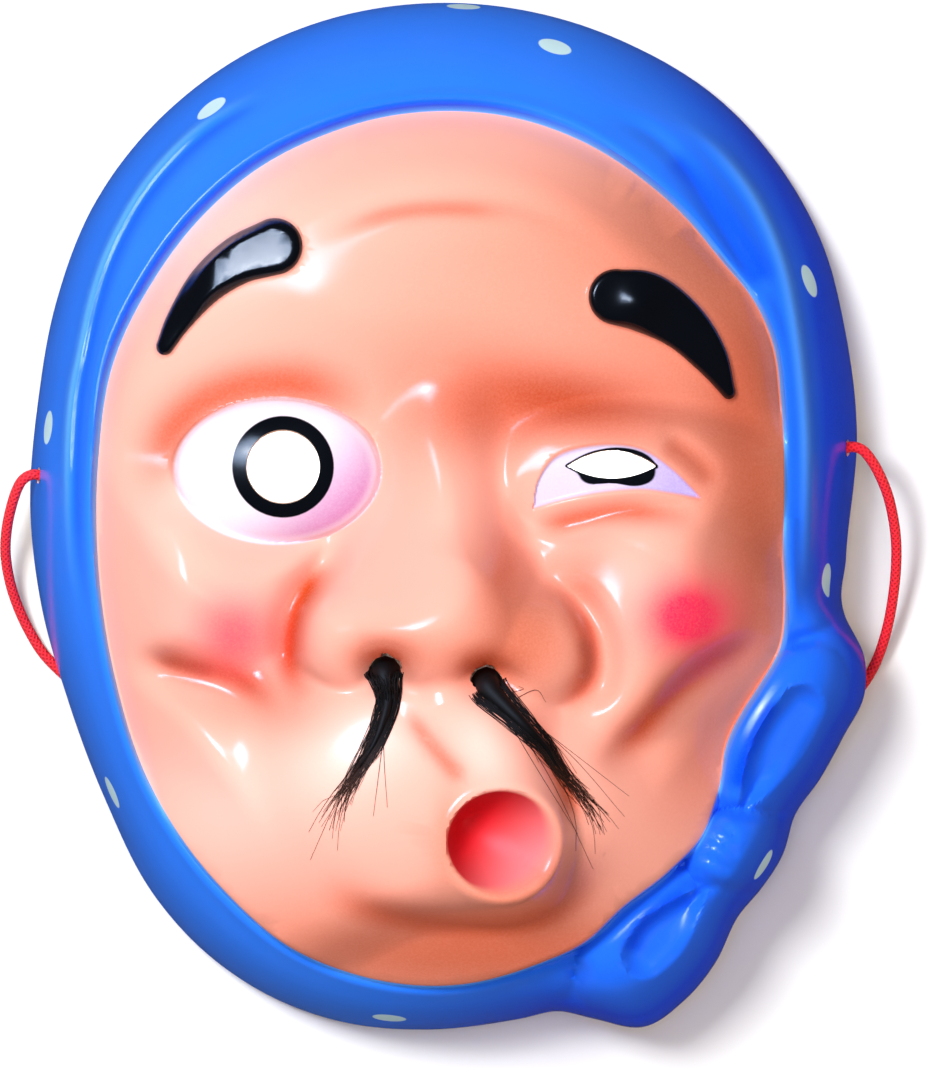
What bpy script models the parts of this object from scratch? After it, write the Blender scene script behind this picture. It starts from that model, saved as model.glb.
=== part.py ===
"""A hyottoko mask: one thin plastic sheet formed over a mould, lying face up on its rim.

Face +Z, crown +Y, +X to the right of someone looking down on the face. The origin is on the
floor under the middle of the rim. Sizes and places are in millimetres, heights are above the
floor, angles are in degrees from +X towards +Y, and MM turns millimetres into Blender's metres.
"""

import math

import bmesh
import bpy
import numpy as np
from mathutils import Vector

MM = 0.001

# Driving sizes
SHEET = 0.9                  # thickness of the plastic
EDGE_Z = 45.0                # height of the flesh where the scarf meets it
DOME_RISE = 17.0             # how far the face's dome rises above that
HEM_STEP = 3.0               # the scarf's edge stands this much over the flesh
EDGE_SLOPE = 1.1             # steepest rise of the flesh from there
WALL_POWER = 1.6             # roundness of the scarf's wall: 1 is a cone, 2 an ellipse
KNOT_WALL_POWER = 2.5
ARCH_RISE = 6.0              # the rim is cut up this far at the temples, over the cord
ARCH_HALF = 52.0             # half the length of that cut
ARCH_Y = -14.0
CORD_D = 2.4
CORD_STEP = 4.6              # between the points of the cord's solid
HAIR_STEP = 2.5              # and of each hair tuft's
CORD_HOLE_R = 1.9
CORD_HOLE_Z = 20.0
KNOT_R = 3.2
EYEHOLE_R = 8.2
NOSTRIL_R = 3.6
GAP = 0.4                    # clearance between pieces that meet
SPOKES = 300                 # the sheet's squares, before it is made simpler: round it
FACE_RINGS = 110             # from its middle to the scarf's edge
SCARF_RINGS = 44             # and from there to the rim
TRIANGLES = 3580             # kept on one face of the sheet
CROWDING = 1.5               # crowds the scarf's rings towards the steep rim
WASTE = 1.0                  # sheet outside the rim, which the trim cuts off
WASTE_SLOPE = 3.0

# Plain colours, linear
FLESH = (0.87, 0.45, 0.31)
RED = (0.69, 0.01, 0.02)
BLACK = (0.006, 0.004, 0.004)

# The rim's outline on the floor: (angle, radius), the oval and the tied knot on it
RIM_OVAL = [(-6, 92.2), (12, 96.2), (25, 100.8), (36, 106.4), (46, 110.5), (57, 114.1),
            (68, 115.8), (79, 117.0), (91, 117.5), (102, 117.0), (113, 115.4), (122, 113.2),
            (138, 107.8), (151, 101.9), (164, 97.1), (179, 95.3), (193, 95.0), (206, 96.3),
            (220, 101.6), (233, 109.9), (241, 114.0), (249, 116.8), (258, 118.2), (268, 117.6)]
RIM_KNOT = [(278.5, 116.3), (283, 116.2), (286.5, 119.8), (291, 125.0), (296, 123.4),
            (301, 119.2), (306, 113.2), (310, 111.5), (315, 108.9), (319, 105.2),
            (325, 104.4), (331, 103.8), (337, 103.8), (341.5, 100.6), (346, 94.0)]

# Where the flesh meets the scarf
FACE_EDGE = [(6, 76.0), (19, 79.3), (28, 82.8), (35, 84.1), (43, 84.1), (51, 85.6), (59, 87.1),
             (70, 89.2), (80, 90.4), (91, 90.6), (98, 90.4), (108, 89.5), (117, 88.6),
             (130, 86.3), (141, 84.1), (155, 82.0), (171, 78.8), (187, 78.5), (206, 82.4),
             (222, 89.2), (239, 96.9), (251, 102.4), (262, 104.7), (271, 104.6), (282, 101.7),
             (288, 99.8), (294, 95.6), (302, 93.4), (308, 91.6), (315, 86.1), (320, 81.4),
             (327, 79.4), (331, 79.6), (339, 80.3), (346, 78.2), (353, 76.0)]

# Raised brows and the knot's dimples: (x, y, half width) along each
LEFT_BROW = [(-63.0, 36.2, 2.0), (-59.8, 42.0, 3.0), (-53.8, 50.0, 4.4), (-46.5, 55.6, 5.5),
             (-38.6, 58.8, 6.4)]
RIGHT_BROW = [(38.6, 48.0, 6.2), (45.5, 46.6, 6.8), (53.0, 41.8, 5.6), (58.6, 35.2, 4.0),
              (62.6, 28.4, 1.6)]
UPPER_DIMPLE = [(79.5, -43.0, 4.8), (75.5, -49.5, 5.4), (71.0, -57.0, 4.0), (66.8, -64.5, 0.8)]
LOWER_DIMPLE = [(57.0, -84.0, 0.8), (52.5, -89.0, 3.4), (48.0, -94.0, 5.2), (44.5, -98.0, 4.8)]

# Eyes and mouth
LEFT_EYE = (-37.5, 10.0)
LEFT_EYE_HALF = (23.5, 16.6)
LEFT_PUPIL = (-36.1, 10.9)
RIGHT_LID_TOP = [(19.4, 1.8), (20.6, 8.0), (25.0, 13.4), (34.0, 15.6), (43.0, 14.8),
                 (50.0, 10.4), (56.5, 4.0)]
RIGHT_LID_BOTTOM = [(19.4, 1.8), (25.3, 3.5), (34.1, 5.3), (43.0, 6.0), (49.7, 5.2), (56.5, 4.0)]
RIGHT_SLIT = (36.8, 11.1)
SLIT_HALF = 10.0
SLIT_UP = 3.5
SLIT_DOWN = 2.8
MOUTH = (11.8, -71.3)
MOUTH_R = 14.4
BOWL_R = 12.8
LEFT_NOSTRIL = (-13.5, -34.5)
RIGHT_NOSTRIL = (9.0, -37.0)

# Side holes for the cord, as angles round the rim
LEFT_HOLE_ANGLE = 174.3
RIGHT_HOLE_ANGLE = 9.6

# The cord between its holes: a loop at each temple, then across the floor under the hollow
CORD_ROUTE = [(-96.4, 7.6, 20.4), (-98.3, 3.2, 18.8), (-99.8, -3.0, 15.6), (-100.2, -9.5, 11.8),
              (-98.8, -17.5, 7.4), (-95.4, -26.0, 3.8), (-90.6, -33.2, 2.2), (-82.0, -40.0, 1.6),
              (-68.0, -45.0, 1.5), (-48.0, -48.5, 1.5), (-24.0, -50.5, 1.5), (2.0, -51.5, 1.5),
              (28.0, -52.0, 1.5), (52.0, -51.5, 1.5), (70.0, -50.0, 1.5), (83.0, -47.0, 1.6),
              (91.6, -42.5, 2.1), (97.0, -36.0, 3.2), (100.4, -27.0, 5.8), (102.2, -16.0, 9.6),
              (102.4, -6.0, 13.4), (100.8, 3.0, 17.2), (98.2, 9.6, 19.8), (95.2, 14.2, 20.9)]

# Hair tufts from root to tip: (x, y, z, half width)
LEFT_HAIR = [(-13.5, -34.4, 69.5, 2.4), (-13.5, -34.8, 73.0, 2.5), (-13.2, -36.8, 75.2, 2.4),
             (-12.7, -40.6, 75.2, 2.2), (-13.8, -45.0, 75.4, 1.9), (-15.6, -49.6, 76.9, 1.5),
             (-18.4, -54.4, 77.8, 1.1), (-21.2, -59.0, 76.8, 0.7), (-23.4, -62.8, 75.4, 0.4)]
RIGHT_HAIR = [(9.0, -36.9, 67.0, 2.7), (9.1, -37.3, 71.0, 2.9), (10.2, -39.0, 74.6, 3.0),
              (14.0, -42.8, 76.8, 2.8), (18.0, -46.8, 76.8, 2.5), (21.8, -50.8, 76.0, 2.0),
              (24.4, -55.0, 75.8, 1.4), (28.6, -60.0, 74.2, 0.8), (33.4, -64.8, 70.0, 0.4)]


# Curves and soft forms

def closed_curve(points, angle):
    """Radius of the smooth closed curve through (angle, radius) points."""
    points = sorted((a % 360, r) for a, r in points)
    a = np.array([p[0] for p in points])
    r = np.array([p[1] for p in points])
    a = np.concatenate([a[-2:] - 360, a, a[:2] + 360])
    r = np.concatenate([r[-2:], r, r[:2]])
    slope = np.gradient(r, a)
    angle = np.mod(angle, 360)
    i = np.clip(np.searchsorted(a, angle) - 1, 0, len(a) - 2)
    width = a[i + 1] - a[i]
    t = (angle - a[i]) / width
    rise = 3 * t ** 2 - 2 * t ** 3
    return ((1 - rise) * r[i] + rise * r[i + 1]
            + (t ** 3 - 2 * t ** 2 + t) * width * slope[i]
            + (t ** 3 - t ** 2) * width * slope[i + 1])


def smooth(low, high, value):
    """0 at low, 1 at high and an S curve between them."""
    t = np.clip((value - low) / (high - low), 0.0, 1.0)
    return t * t * (3.0 - 2.0 * t)


def higher(a, b, blend):
    """The higher of two surfaces, with a fillet where they cross."""
    h = np.clip(0.5 + 0.5 * (a - b) / blend, 0.0, 1.0)
    return b + (a - b) * h + blend * h * (1.0 - h)


def lower(a, b, blend):
    """The lower of two surfaces, with a fillet where they cross."""
    return -higher(-a, -b, blend)


def oval(x, y, centre, half, turn=0.0):
    """Distance from an oval's centre, 1 on its edge."""
    c = math.cos(math.radians(turn))
    s = math.sin(math.radians(turn))
    dx = x - centre[0]
    dy = y - centre[1]
    return np.hypot((dx * c + dy * s) / half[0], (dy * c - dx * s) / half[1])


def mound(x, y, centre, half, height, turn=0.0):
    """A soft swelling, or a hollow when height is negative."""
    return height * np.exp(-oval(x, y, centre, half, turn) ** 2)


def cap(x, y, centre, half, top, drop, turn=0.0):
    """A paraboloid, lower by drop on its oval's edge and falling on outside."""
    return top - drop * oval(x, y, centre, half, turn) ** 2


def ball(x, y, centre, half, top, height, turn=0.0):
    """Half an ellipsoid whose foot runs on as a straight slope."""
    foot = 0.92
    d = oval(x, y, centre, half, turn)
    inner = np.sqrt(1.0 - np.minimum(d, foot) ** 2)
    slope = height * foot / math.sqrt(1.0 - foot * foot)
    return top - height * (1.0 - inner) - slope * np.maximum(d - foot, 0.0)


def crest(x, y, start, end, tops, width, drop):
    """A straight rounded crest whose height runs smoothly through tops."""
    dx = end[0] - start[0]
    dy = end[1] - start[1]
    on = np.clip(((x - start[0]) * dx + (y - start[1]) * dy) / (dx * dx + dy * dy), 0.0, 1.0)
    away = np.hypot(x - start[0] - on * dx, y - start[1] - on * dy)
    line = np.polyfit(np.linspace(0, 1, len(tops)), tops, len(tops) - 1)
    return np.polyval(line, on) - drop * (away / width) ** 2


def through(route, steps):
    """Points of the smooth open curve through a route's points."""
    p = np.array(route, float)
    p = np.vstack([2 * p[0] - p[1], p, 2 * p[-1] - p[-2]])
    points = []
    for a, b, c, d in zip(p, p[1:], p[2:], p[3:]):
        for t in np.linspace(0, 1, steps, endpoint=False):
            points.append(0.5 * (2 * b + (c - a) * t + (2 * a - 5 * b + 4 * c - d) * t ** 2
                                 + (3 * b - a - 3 * c + d) * t ** 3))
    points.append(p[-2])
    return np.array(points)


def along(x, y, route, reach):
    """Distance to a route within reach, the side (+ on its left), how far along from 0 to 1,
    and the route's third column there."""
    line = through(route, 10)
    low = line[:, :2].min(axis=0) - reach
    high = line[:, :2].max(axis=0) + reach
    near = (x > low[0]) & (x < high[0]) & (y > low[1]) & (y < high[1])
    px = x[near]
    py = y[near]
    distance = np.full(px.shape, 1000.0)
    side = np.ones(px.shape)
    where = np.zeros(px.shape)
    third = np.zeros(px.shape)
    for k in range(len(line) - 1):
        dx, dy = line[k + 1, :2] - line[k, :2]
        on = ((px - line[k, 0]) * dx + (py - line[k, 1]) * dy) / (dx * dx + dy * dy)
        on = np.clip(on, 0.0, 1.0)
        ex = px - line[k, 0] - on * dx
        ey = py - line[k, 1] - on * dy
        closer = np.hypot(ex, ey) < distance
        distance = np.where(closer, np.hypot(ex, ey), distance)
        side = np.where(closer, np.sign(dx * ey - dy * ex), side)
        where = np.where(closer, (k + on) / (len(line) - 1), where)
        if line.shape[1] > 2:
            third = np.where(closer, line[k, 2] + on * (line[k + 1, 2] - line[k, 2]), third)
    found = [np.full(x.shape, 1000.0), np.ones(x.shape), np.zeros(x.shape), np.zeros(x.shape)]
    for whole, part in zip(found, (distance, side, where, third)):
        whole[near] = part
    return found


def ends(where, share):
    """1 along a route, easing to 0 over a share of it at both ends."""
    return smooth(0.0, share, where) * smooth(0.0, share, 1.0 - where)


def ridge(x, y, route, width, height, share=0.25):
    """A soft raised line, or a groove when height is negative, fading at its ends."""
    distance, _, where, _ = along(x, y, route, 4 * width)
    return height * np.exp(-(distance / width) ** 2) * ends(where, share)


def fold(x, y, route, width, height, share=0.25):
    """A crease: the left of the route stands over its right by height, easing away."""
    distance, side, where, _ = along(x, y, route, 9 * width)
    step = np.tanh(distance * side / width) * np.exp(-(distance / (3 * width)) ** 2)
    return 0.5 * height * step * ends(where, share)


def stroke(x, y, route):
    """Distance outside a tapered stroke, negative inside it."""
    distance, _, _, half = along(x, y, route, 20)
    return distance - half


# The mould: the height of the sheet's outer face over each place

def flesh(x, y, edge, inside):
    """The face inside the scarf, whose edge lies at that radius and that far outside."""
    z = EDGE_Z + DOME_RISE * (1.0 - np.clip(1.0 - inside / edge, 0.0, 1.0) ** 2.6)
    z = forehead(x, y, z)
    z = cheeks(x, y, z)
    z = lower(z, EDGE_Z + EDGE_SLOPE * np.maximum(inside, -3.0), 3.0)
    z = muzzle(x, y, z)
    z = higher(z, ball(x, y, (38, 8.5), (27, 16), 66.0, 9.0, -4), 3.5)
    z = nose(x, y, z)
    z = pipe_mouth(x, y, z)
    z = creases(x, y, z)
    z = round_eye(x, y, z)
    z = winking_eye(x, y, z)
    return brows(x, y, z)


def forehead(x, y, z):
    z = higher(z, cap(x, y, (2, 50), (62, 38), 65.0, 9.0), 9.0)
    wrinkle = [(-32, 59), (-12.4, 67.0), (0.9, 68.6), (16.3, 67.2), (38, 59)]
    z = z + fold(x, y, wrinkle, 2.0, -2.0, 0.3)
    z = z + mound(x, y, (-30, 50), (12, 9), 1.6, -30)
    z = z + mound(x, y, (-37, 15), (32, 19), -4.5)
    z = z + mound(x, y, (36, 14), (30, 17), -6.0)
    return z + mound(x, y, (0, 27), (18, 12), -3.0)


def cheeks(x, y, z):
    z = higher(z, ball(x, y, (-50, -14), (25, 17), 65.5, 8.0, -12), 8.0)
    pouch = crest(x, y, (48, -10), (29.5, -46), (67.5, 71.5, 72.0, 69.5), 18.0, 9.0)
    right = higher(ball(x, y, (45, -17), (26, 20), 69.0, 9.0, 20), pouch, 7.0)
    z = higher(z, right, 6.0)
    z = higher(z, cap(x, y, (-46, -60), (28, 25), 64.5, 9.0), 6.0)
    return higher(z, cap(x, y, (48, -64), (20, 25), 61.0, 9.0, 20), 5.0)


def muzzle(x, y, z):
    """The upper lip's swelling, with the philtrum's ridge running down to the mouth."""
    z = higher(z, cap(x, y, (0, -62), (32, 24), 82.0, 17.0, -12), 5.0)
    z = higher(z, ball(x, y, (-24, -42.5), (10, 7), 70.0, 5.0, 12), 5.0)
    z = higher(z, crest(x, y, (1, -36), (12, -72), (73, 79, 84, 88.5), 12.0, 9.0), 3.0)
    return z + ridge(x, y, [(-10, -43), (-5, -51), (1, -59), (6, -63)], 3.0, -2.2, 0.3)


def nose(x, y, z):
    bridge = crest(x, y, (1, 34), (-5, -16), (60.5, 66.0, 73.0, 82.0), 13.0, 7.5)
    tip = ball(x, y, (-3.0, -22), (18, 15), 87.5, 13.0)
    base = ball(x, y, (-1.0, -26.0), (28, 13.5), 83.5, 15.0, -4)
    left_wing = ball(x, y, (-21.0, -27), (11.5, 12.0), 79.5, 13.0)
    right_wing = ball(x, y, (20.5, -30), (12.5, 13.0), 80.0, 13.0)
    whole = higher(higher(bridge, tip, 8.0), base, 5.0)
    whole = higher(whole, higher(left_wing, right_wing, 4.0), 4.0)
    z = higher(z, whole, 4.5)
    for centre in (LEFT_NOSTRIL, RIGHT_NOSTRIL):
        z = z + mound(x, y, (centre[0], centre[1] + 1.0), (5.6, 4.4), -6.5)
    return z


def pipe_mouth(x, y, z):
    """The pouting mouth: a short pipe leaning to the lower right, with a closed red bowl."""
    d = np.hypot(x - MOUTH[0], y - MOUTH[1])
    lean = 0.10 * (x - MOUTH[0]) - 0.10 * (y - MOUTH[1])
    lip = np.clip((d - MOUTH_R + 3.9) / 4.2, 0.0, 0.93)
    wall = 90.5 - lean - 5.0 * (1.0 - np.sqrt(1.0 - lip ** 2)) - 3.2 * np.maximum(d - MOUTH_R, 0.0)
    z = higher(z, wall, 3.0)
    dx = x - MOUTH[0]
    dy = y - MOUTH[1] - 1.3
    far_side = smooth(-0.8, 0.9, (dx * 0.8 - dy * 0.6) / BOWL_R)
    return z - 9.0 * smooth(BOWL_R, 9.0 - 6.0 * far_side, np.hypot(dx, dy))


def creases(x, y, z):
    left_cheek = [(-72, -28), (-62, -31), (-52, -34), (-43, -39), (-33, -46)]
    right_cheek = [(72, -26), (60, -30), (51, -36), (42, -46), (31, -57)]
    left_wing = [(-18, -6), (-26, -10), (-33.0, -18), (-35, -28), (-33, -38)]
    right_wing = [(22, -13), (30, -19), (35, -28), (34, -38), (25, -42)]
    under_lip = [(-24, -83), (-14, -86), (-2, -88), (12, -88.5), (24, -85), (30, -77)]
    z = z + fold(x, y, left_cheek, 2.6, 3.6, 0.3)
    z = z + fold(x, y, right_cheek, 2.6, -6.0, 0.2)
    z = z + ridge(x, y, left_wing, 3.6, -4.0, 0.3)
    z = z + ridge(x, y, right_wing, 3.2, -3.0, 0.3)
    return z + fold(x, y, under_lip, 2.6, 4.5)


def round_eye(x, y, z):
    """A socket cut round the bulging left eyeball."""
    rim = 0.94
    d = oval(x, y, LEFT_EYE, LEFT_EYE_HALF)
    z = lower(z, 58.0 + 22.0 * np.maximum(d - 0.9, 0.0), 3.0)
    bulge = 66.5 - 10.0 * (1.0 - np.sqrt(1.0 - np.minimum(d, rim) ** 2))
    bulge = bulge + 0.1 * (x - LEFT_EYE[0])
    return higher(z, bulge - 60.0 * np.maximum(d - rim, 0.0), 0.8)


def winking_eye(x, y, z):
    puff = [(17, 14), (14.6, 7), (14.4, 1), (17, -3.5), (24, -5.4), (34, -5)]
    under = [(20, -2), (28, -0.8), (38, 1.0), (50, 1.0), (60, -1)]
    outer = [(46, 19.5), (54, 14), (63, 6)]
    z = z + ridge(x, y, puff, 1.9, 1.6)
    z = z + ridge(x, y, under, 2.0, -2.6)
    z = z + ridge(x, y, outer, 2.8, -2.4, 0.35)
    top = through(RIGHT_LID_TOP, 10)
    bottom = through(RIGHT_LID_BOTTOM, 10)
    below_top = np.interp(x, top[:, 0], top[:, 1], left=-99, right=-99) - y
    above_bottom = y - np.interp(x, bottom[:, 0], bottom[:, 1])
    return z - 1.5 * smooth(-0.9, 0.9, np.minimum(below_top, above_bottom))


def brows(x, y, z):
    for route in (LEFT_BROW, RIGHT_BROW):
        d = stroke(x, y, route)
        inward = np.clip(-d / 4.2, 0.0, 1.0)
        z = z + 1.0 * smooth(0.5, -0.3, d) + 2.6 * np.sqrt(1.0 - (1.0 - inward) ** 2.4)
    return z


def scarf_folds(x, y, inside, by_knot):
    """The scarf's rolled edge, a fold and its trough on the right, a pleat on the left."""
    right_trough = [(30, 92), (46, 82.5), (57, 70.5), (65.5, 57), (70.5, 46), (73.5, 38)]
    right_fold = [(40, 96), (54.5, 84), (65.6, 70.6), (72.3, 56.7), (76.6, 41.5), (79.4, 25.9),
                  (79.6, 3.6), (78.0, -20)]
    left_fold = [(-41.5, 94.0), (-57.2, 82.0), (-68.3, 67.5), (-76.0, 49.0), (-80.2, 28.0),
                 (-82.2, 8.0), (-81.0, -12), (-77, -32)]
    left_pleat = [(-74, 52), (-78.6, 34), (-81.2, 14), (-81.6, 0), (-80, -16)]
    z = 0.9 * np.exp(-((inside + 3.2) / 1.8) ** 2) * (1 - by_knot)
    z = z + ridge(x, y, right_trough, 3.2, -2.8, 0.2)
    z = z + ridge(x, y, right_fold, 3.4, 2.8, 0.18)
    z = z + ridge(x, y, left_fold, 4.6, 2.4, 0.22)
    return z + ridge(x, y, left_pleat, 1.3, -1.5, 0.3)


def knot(x, y, z, share):
    """Two looped ends and the wrap between them, standing on the scarf's wall."""
    def puff(d, height):
        return height * np.sqrt(np.clip(1.0 - d ** 2, 0.0, 1.0))

    rise = smooth(0.0, 0.5, share)
    upper = puff(oval(x, y, (75.5, -48.5), (22, 13), 60), 7.5)
    under = puff(oval(x, y, (47.0, -96.0), (21, 14), 42), 8.0)
    wrap = puff(oval(x, y, (64.0, -76.0), (11, 11.5), 50), 8.5)
    z = z + higher(higher(upper, under, 0.8), wrap, 0.6) * rise
    for route in (UPPER_DIMPLE, LOWER_DIMPLE):
        z = z - 4.2 * smooth(2.2, -3.0, stroke(x, y, route)) * rise
    z = z + ridge(x, y, [(75, -28), (80, -27.5), (85, -25.5), (90, -22)], 1.8, -2.4, 0.3)
    return z + ridge(x, y, [(31, -98), (29.5, -103), (28, -108), (26, -112)], 2.2, -2.8, 0.3)


def heights(x, y):
    """Height of the sheet's outer face, in millimetres above the floor."""
    angle = np.mod(np.degrees(np.arctan2(y, x)), 360)
    r = np.hypot(x, y)
    rim = closed_curve(RIM_OVAL + RIM_KNOT, angle)
    edge = closed_curve(FACE_EDGE, angle)
    by_knot = smooth(277, 291, angle) * smooth(350, 341, angle)
    power = WALL_POWER + (KNOT_WALL_POWER - WALL_POWER) * by_knot
    up = np.clip((rim - r) / (rim - edge), 0.0, 1.0)
    scarf = (EDGE_Z + HEM_STEP) * (1.0 - (1.0 - up) ** power) ** (1.0 / power)
    inside = edge - r
    scarf = scarf + scarf_folds(x, y, inside, by_knot)
    scarf = knot(x, y, scarf, up) - WASTE_SLOPE * np.maximum(r - rim, 0.0)
    face = flesh(x, y, edge, inside)
    step = smooth(-1.4, 1.4, inside)
    return scarf * (1 - step) + face * step


# The pieces

def sheet():
    """The sheet's corners and faces: rings round its middle, one of them on the scarf's edge."""
    angles = np.arange(SPOKES) * 360.0 / SPOKES
    edge = closed_curve(FACE_EDGE, angles)
    border = closed_curve(RIM_OVAL + RIM_KNOT, angles) + WASTE
    radii = [edge * k / FACE_RINGS for k in range(1, FACE_RINGS + 1)]
    for k in range(1, SCARF_RINGS + 1):
        radii.append(edge + (border - edge) * (1.0 - (1.0 - k / SCARF_RINGS) ** CROWDING))
    r = np.concatenate([[0.0], np.concatenate(radii)])
    turns = np.radians(np.concatenate([[0.0], np.tile(angles, len(radii))]))
    x = r * np.cos(turns)
    y = r * np.sin(turns)
    faces = []
    for a in range(SPOKES):
        b = (a + 1) % SPOKES
        faces.append((0, 1 + a, 1 + b))
        for inner in range(1, 1 + SPOKES * (len(radii) - 1), SPOKES):
            faces.append((inner + a, inner + SPOKES + a, inner + SPOKES + b, inner + b))
    return np.stack([x, y, heights(x, y)], axis=1) * MM, faces


def add_object(name, data, colour, roughness):
    """Put data in the scene as a named object with its own material."""
    thing = bpy.data.objects.new(name, data)
    bpy.context.scene.collection.objects.link(thing)
    material = bpy.data.materials.new(name)
    material.use_nodes = True
    shader = material.node_tree.nodes["Principled BSDF"]
    shader.inputs["Base Color"].default_value = (*colour, 1.0)
    shader.inputs["Roughness"].default_value = roughness
    shader.inputs["Metallic"].default_value = 0.0
    data.materials.append(material)
    return thing


def cutter(name, outline, axis, start, end):
    """A hidden prism from start to end, its outline drawn square to its axis."""
    if abs(axis.z) > 0.99:
        across, up = Vector((1, 0, 0)), Vector((0, 1, 0))
    else:
        across = Vector((0, 0, 1)).cross(axis).normalized()
        up = axis.cross(across)
    bm = bmesh.new()
    rings = []
    for centre in (start, end):
        rings.append([bm.verts.new((centre + across * a + up * b) * MM) for a, b in outline])
    bm.faces.new(list(reversed(rings[0])))
    bm.faces.new(rings[1])
    for k in range(len(outline)):
        n = (k + 1) % len(outline)
        bm.faces.new((rings[0][k], rings[0][n], rings[1][n], rings[1][k]))
    bmesh.ops.recalc_face_normals(bm, faces=bm.faces[:])
    mesh = bpy.data.meshes.new(name)
    bm.to_mesh(mesh)
    bm.free()
    tool = bpy.data.objects.new(name, mesh)
    bpy.context.scene.collection.objects.link(tool)
    tool.hide_render = True
    tool.display_type = "WIRE"
    return tool


def circle(radius, sides):
    turns = [2 * math.pi * k / sides for k in range(sides)]
    return [(radius * math.cos(t), radius * math.sin(t)) for t in turns]


def lens(half, up, down, steps):
    """An eye slit's outline: a lower arc and an upper arc between two corners."""
    places = [-1 + 2 * k / steps for k in range(steps)]
    lower_arc = [(half * t, -down * (1 - t * t)) for t in places]
    return lower_arc + [(-half * t, up * (1 - t * t)) for t in places]


def temple_arch(steps):
    """Outline, in Y and Z, of what is cut from the rim at the temples: a shallow arc."""
    radius = (ARCH_HALF ** 2 + ARCH_RISE ** 2) / (2 * ARCH_RISE)
    swing = math.asin(ARCH_HALF / radius) * 1.04
    turns = [swing - 2 * swing * k / steps for k in range(steps + 1)]
    arc = [(ARCH_Y + radius * math.sin(t), ARCH_RISE - radius + radius * math.cos(t)) for t in turns]
    below = -20.0
    return [(arc[-1][0], below), (arc[0][0], below)] + arc


def hole_axis(angle):
    """A cord hole is punched square to the wall, which leans by about 20 degrees."""
    turn = math.radians(angle)
    return Vector((0.94 * math.cos(turn), 0.94 * math.sin(turn), 0.34)).normalized()


def wall_point(angle, z):
    """The scarf's outer wall at an angle and height."""
    turn = math.radians(angle)
    radii = np.linspace(84, 98, 700)
    found = heights(radii * math.cos(turn), radii * math.sin(turn))
    r = float(radii[np.argmin(np.abs(found - z))])
    return Vector((r * math.cos(turn), r * math.sin(turn), z))


def shell_cutters():
    """The rim's trim, then the punched eyes, nostrils and cord holes."""
    upright = Vector((0, 0, 1))
    sideways = Vector((1, 0, 0))
    square = [(-150, -150), (150, -150), (150, 150), (-150, 150)]
    yield cutter("trim_flat", square, upright, Vector((0, 0, -20)), Vector((0, 0, 0)))
    yield cutter("trim_temples", temple_arch(14), sideways, Vector((-150, 0, 0)), Vector((150, 0, 0)))
    punches = [("left_eye", circle(EYEHOLE_R, 28), LEFT_PUPIL),
               ("right_eye", lens(SLIT_HALF, SLIT_UP, SLIT_DOWN, 8), RIGHT_SLIT),
               ("left_nostril", circle(NOSTRIL_R, 12), LEFT_NOSTRIL),
               ("right_nostril", circle(NOSTRIL_R, 12), RIGHT_NOSTRIL)]
    for name, outline, place in punches:
        yield cutter("punch_" + name, outline, upright, Vector((*place, 30)), Vector((*place, 100)))
    for name, angle in (("left", LEFT_HOLE_ANGLE), ("right", RIGHT_HOLE_ANGLE)):
        middle = wall_point(angle, CORD_HOLE_Z)
        out = hole_axis(angle)
        reach = out * 6
        yield cutter("punch_cord_" + name, circle(CORD_HOLE_R, 10), out, middle - reach, middle + reach)


def make_shell():
    """The formed sheet, made simpler, thickened inwards, then trimmed and punched."""
    corners, faces = sheet()
    mesh = bpy.data.meshes.new("mask_shell")
    mesh.from_pydata(corners.tolist(), [], faces)
    shell = add_object("mask_shell", mesh, FLESH, 0.15)
    simpler = shell.modifiers.new("fewer facets", "DECIMATE")
    simpler.ratio = TRIANGLES / (SPOKES * (2 * (FACE_RINGS + SCARF_RINGS) - 1))
    simpler.use_collapse_triangulate = True
    thickness = shell.modifiers.new("sheet thickness", "SOLIDIFY")
    thickness.thickness = SHEET * MM
    thickness.offset = -1.0
    for tool in shell_cutters():
        cut = shell.modifiers.new(tool.name, "BOOLEAN")
        cut.operation = "DIFFERENCE"
        cut.solver = "EXACT"
        cut.object = tool


def make_tube(name, points, radii, roundness, colour, roughness):
    """A solid tube through points, with a radius at each; roundness 1 is six sides, 2 is eight."""
    curve = bpy.data.curves.new(name, "CURVE")
    curve.dimensions = "3D"
    curve.bevel_depth = MM
    curve.bevel_resolution = roundness
    curve.use_fill_caps = True
    line = curve.splines.new("POLY")
    line.points.add(len(points) - 1)
    for spot, place, radius in zip(line.points, points, radii):
        spot.co = (*(Vector(place) * MM), 1.0)
        spot.radius = radius
    return add_object(name, curve, colour, roughness)


def evenly(line, step):
    """Points about a step apart along a fine line of points."""
    run = np.concatenate([[0.0], np.cumsum(np.linalg.norm(np.diff(line, axis=0), axis=1))])
    stops = np.linspace(0.0, run[-1], round(run[-1] / step) + 1)
    return np.stack([np.interp(stops, run, line[:, k]) for k in range(line.shape[1])], axis=1)


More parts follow.
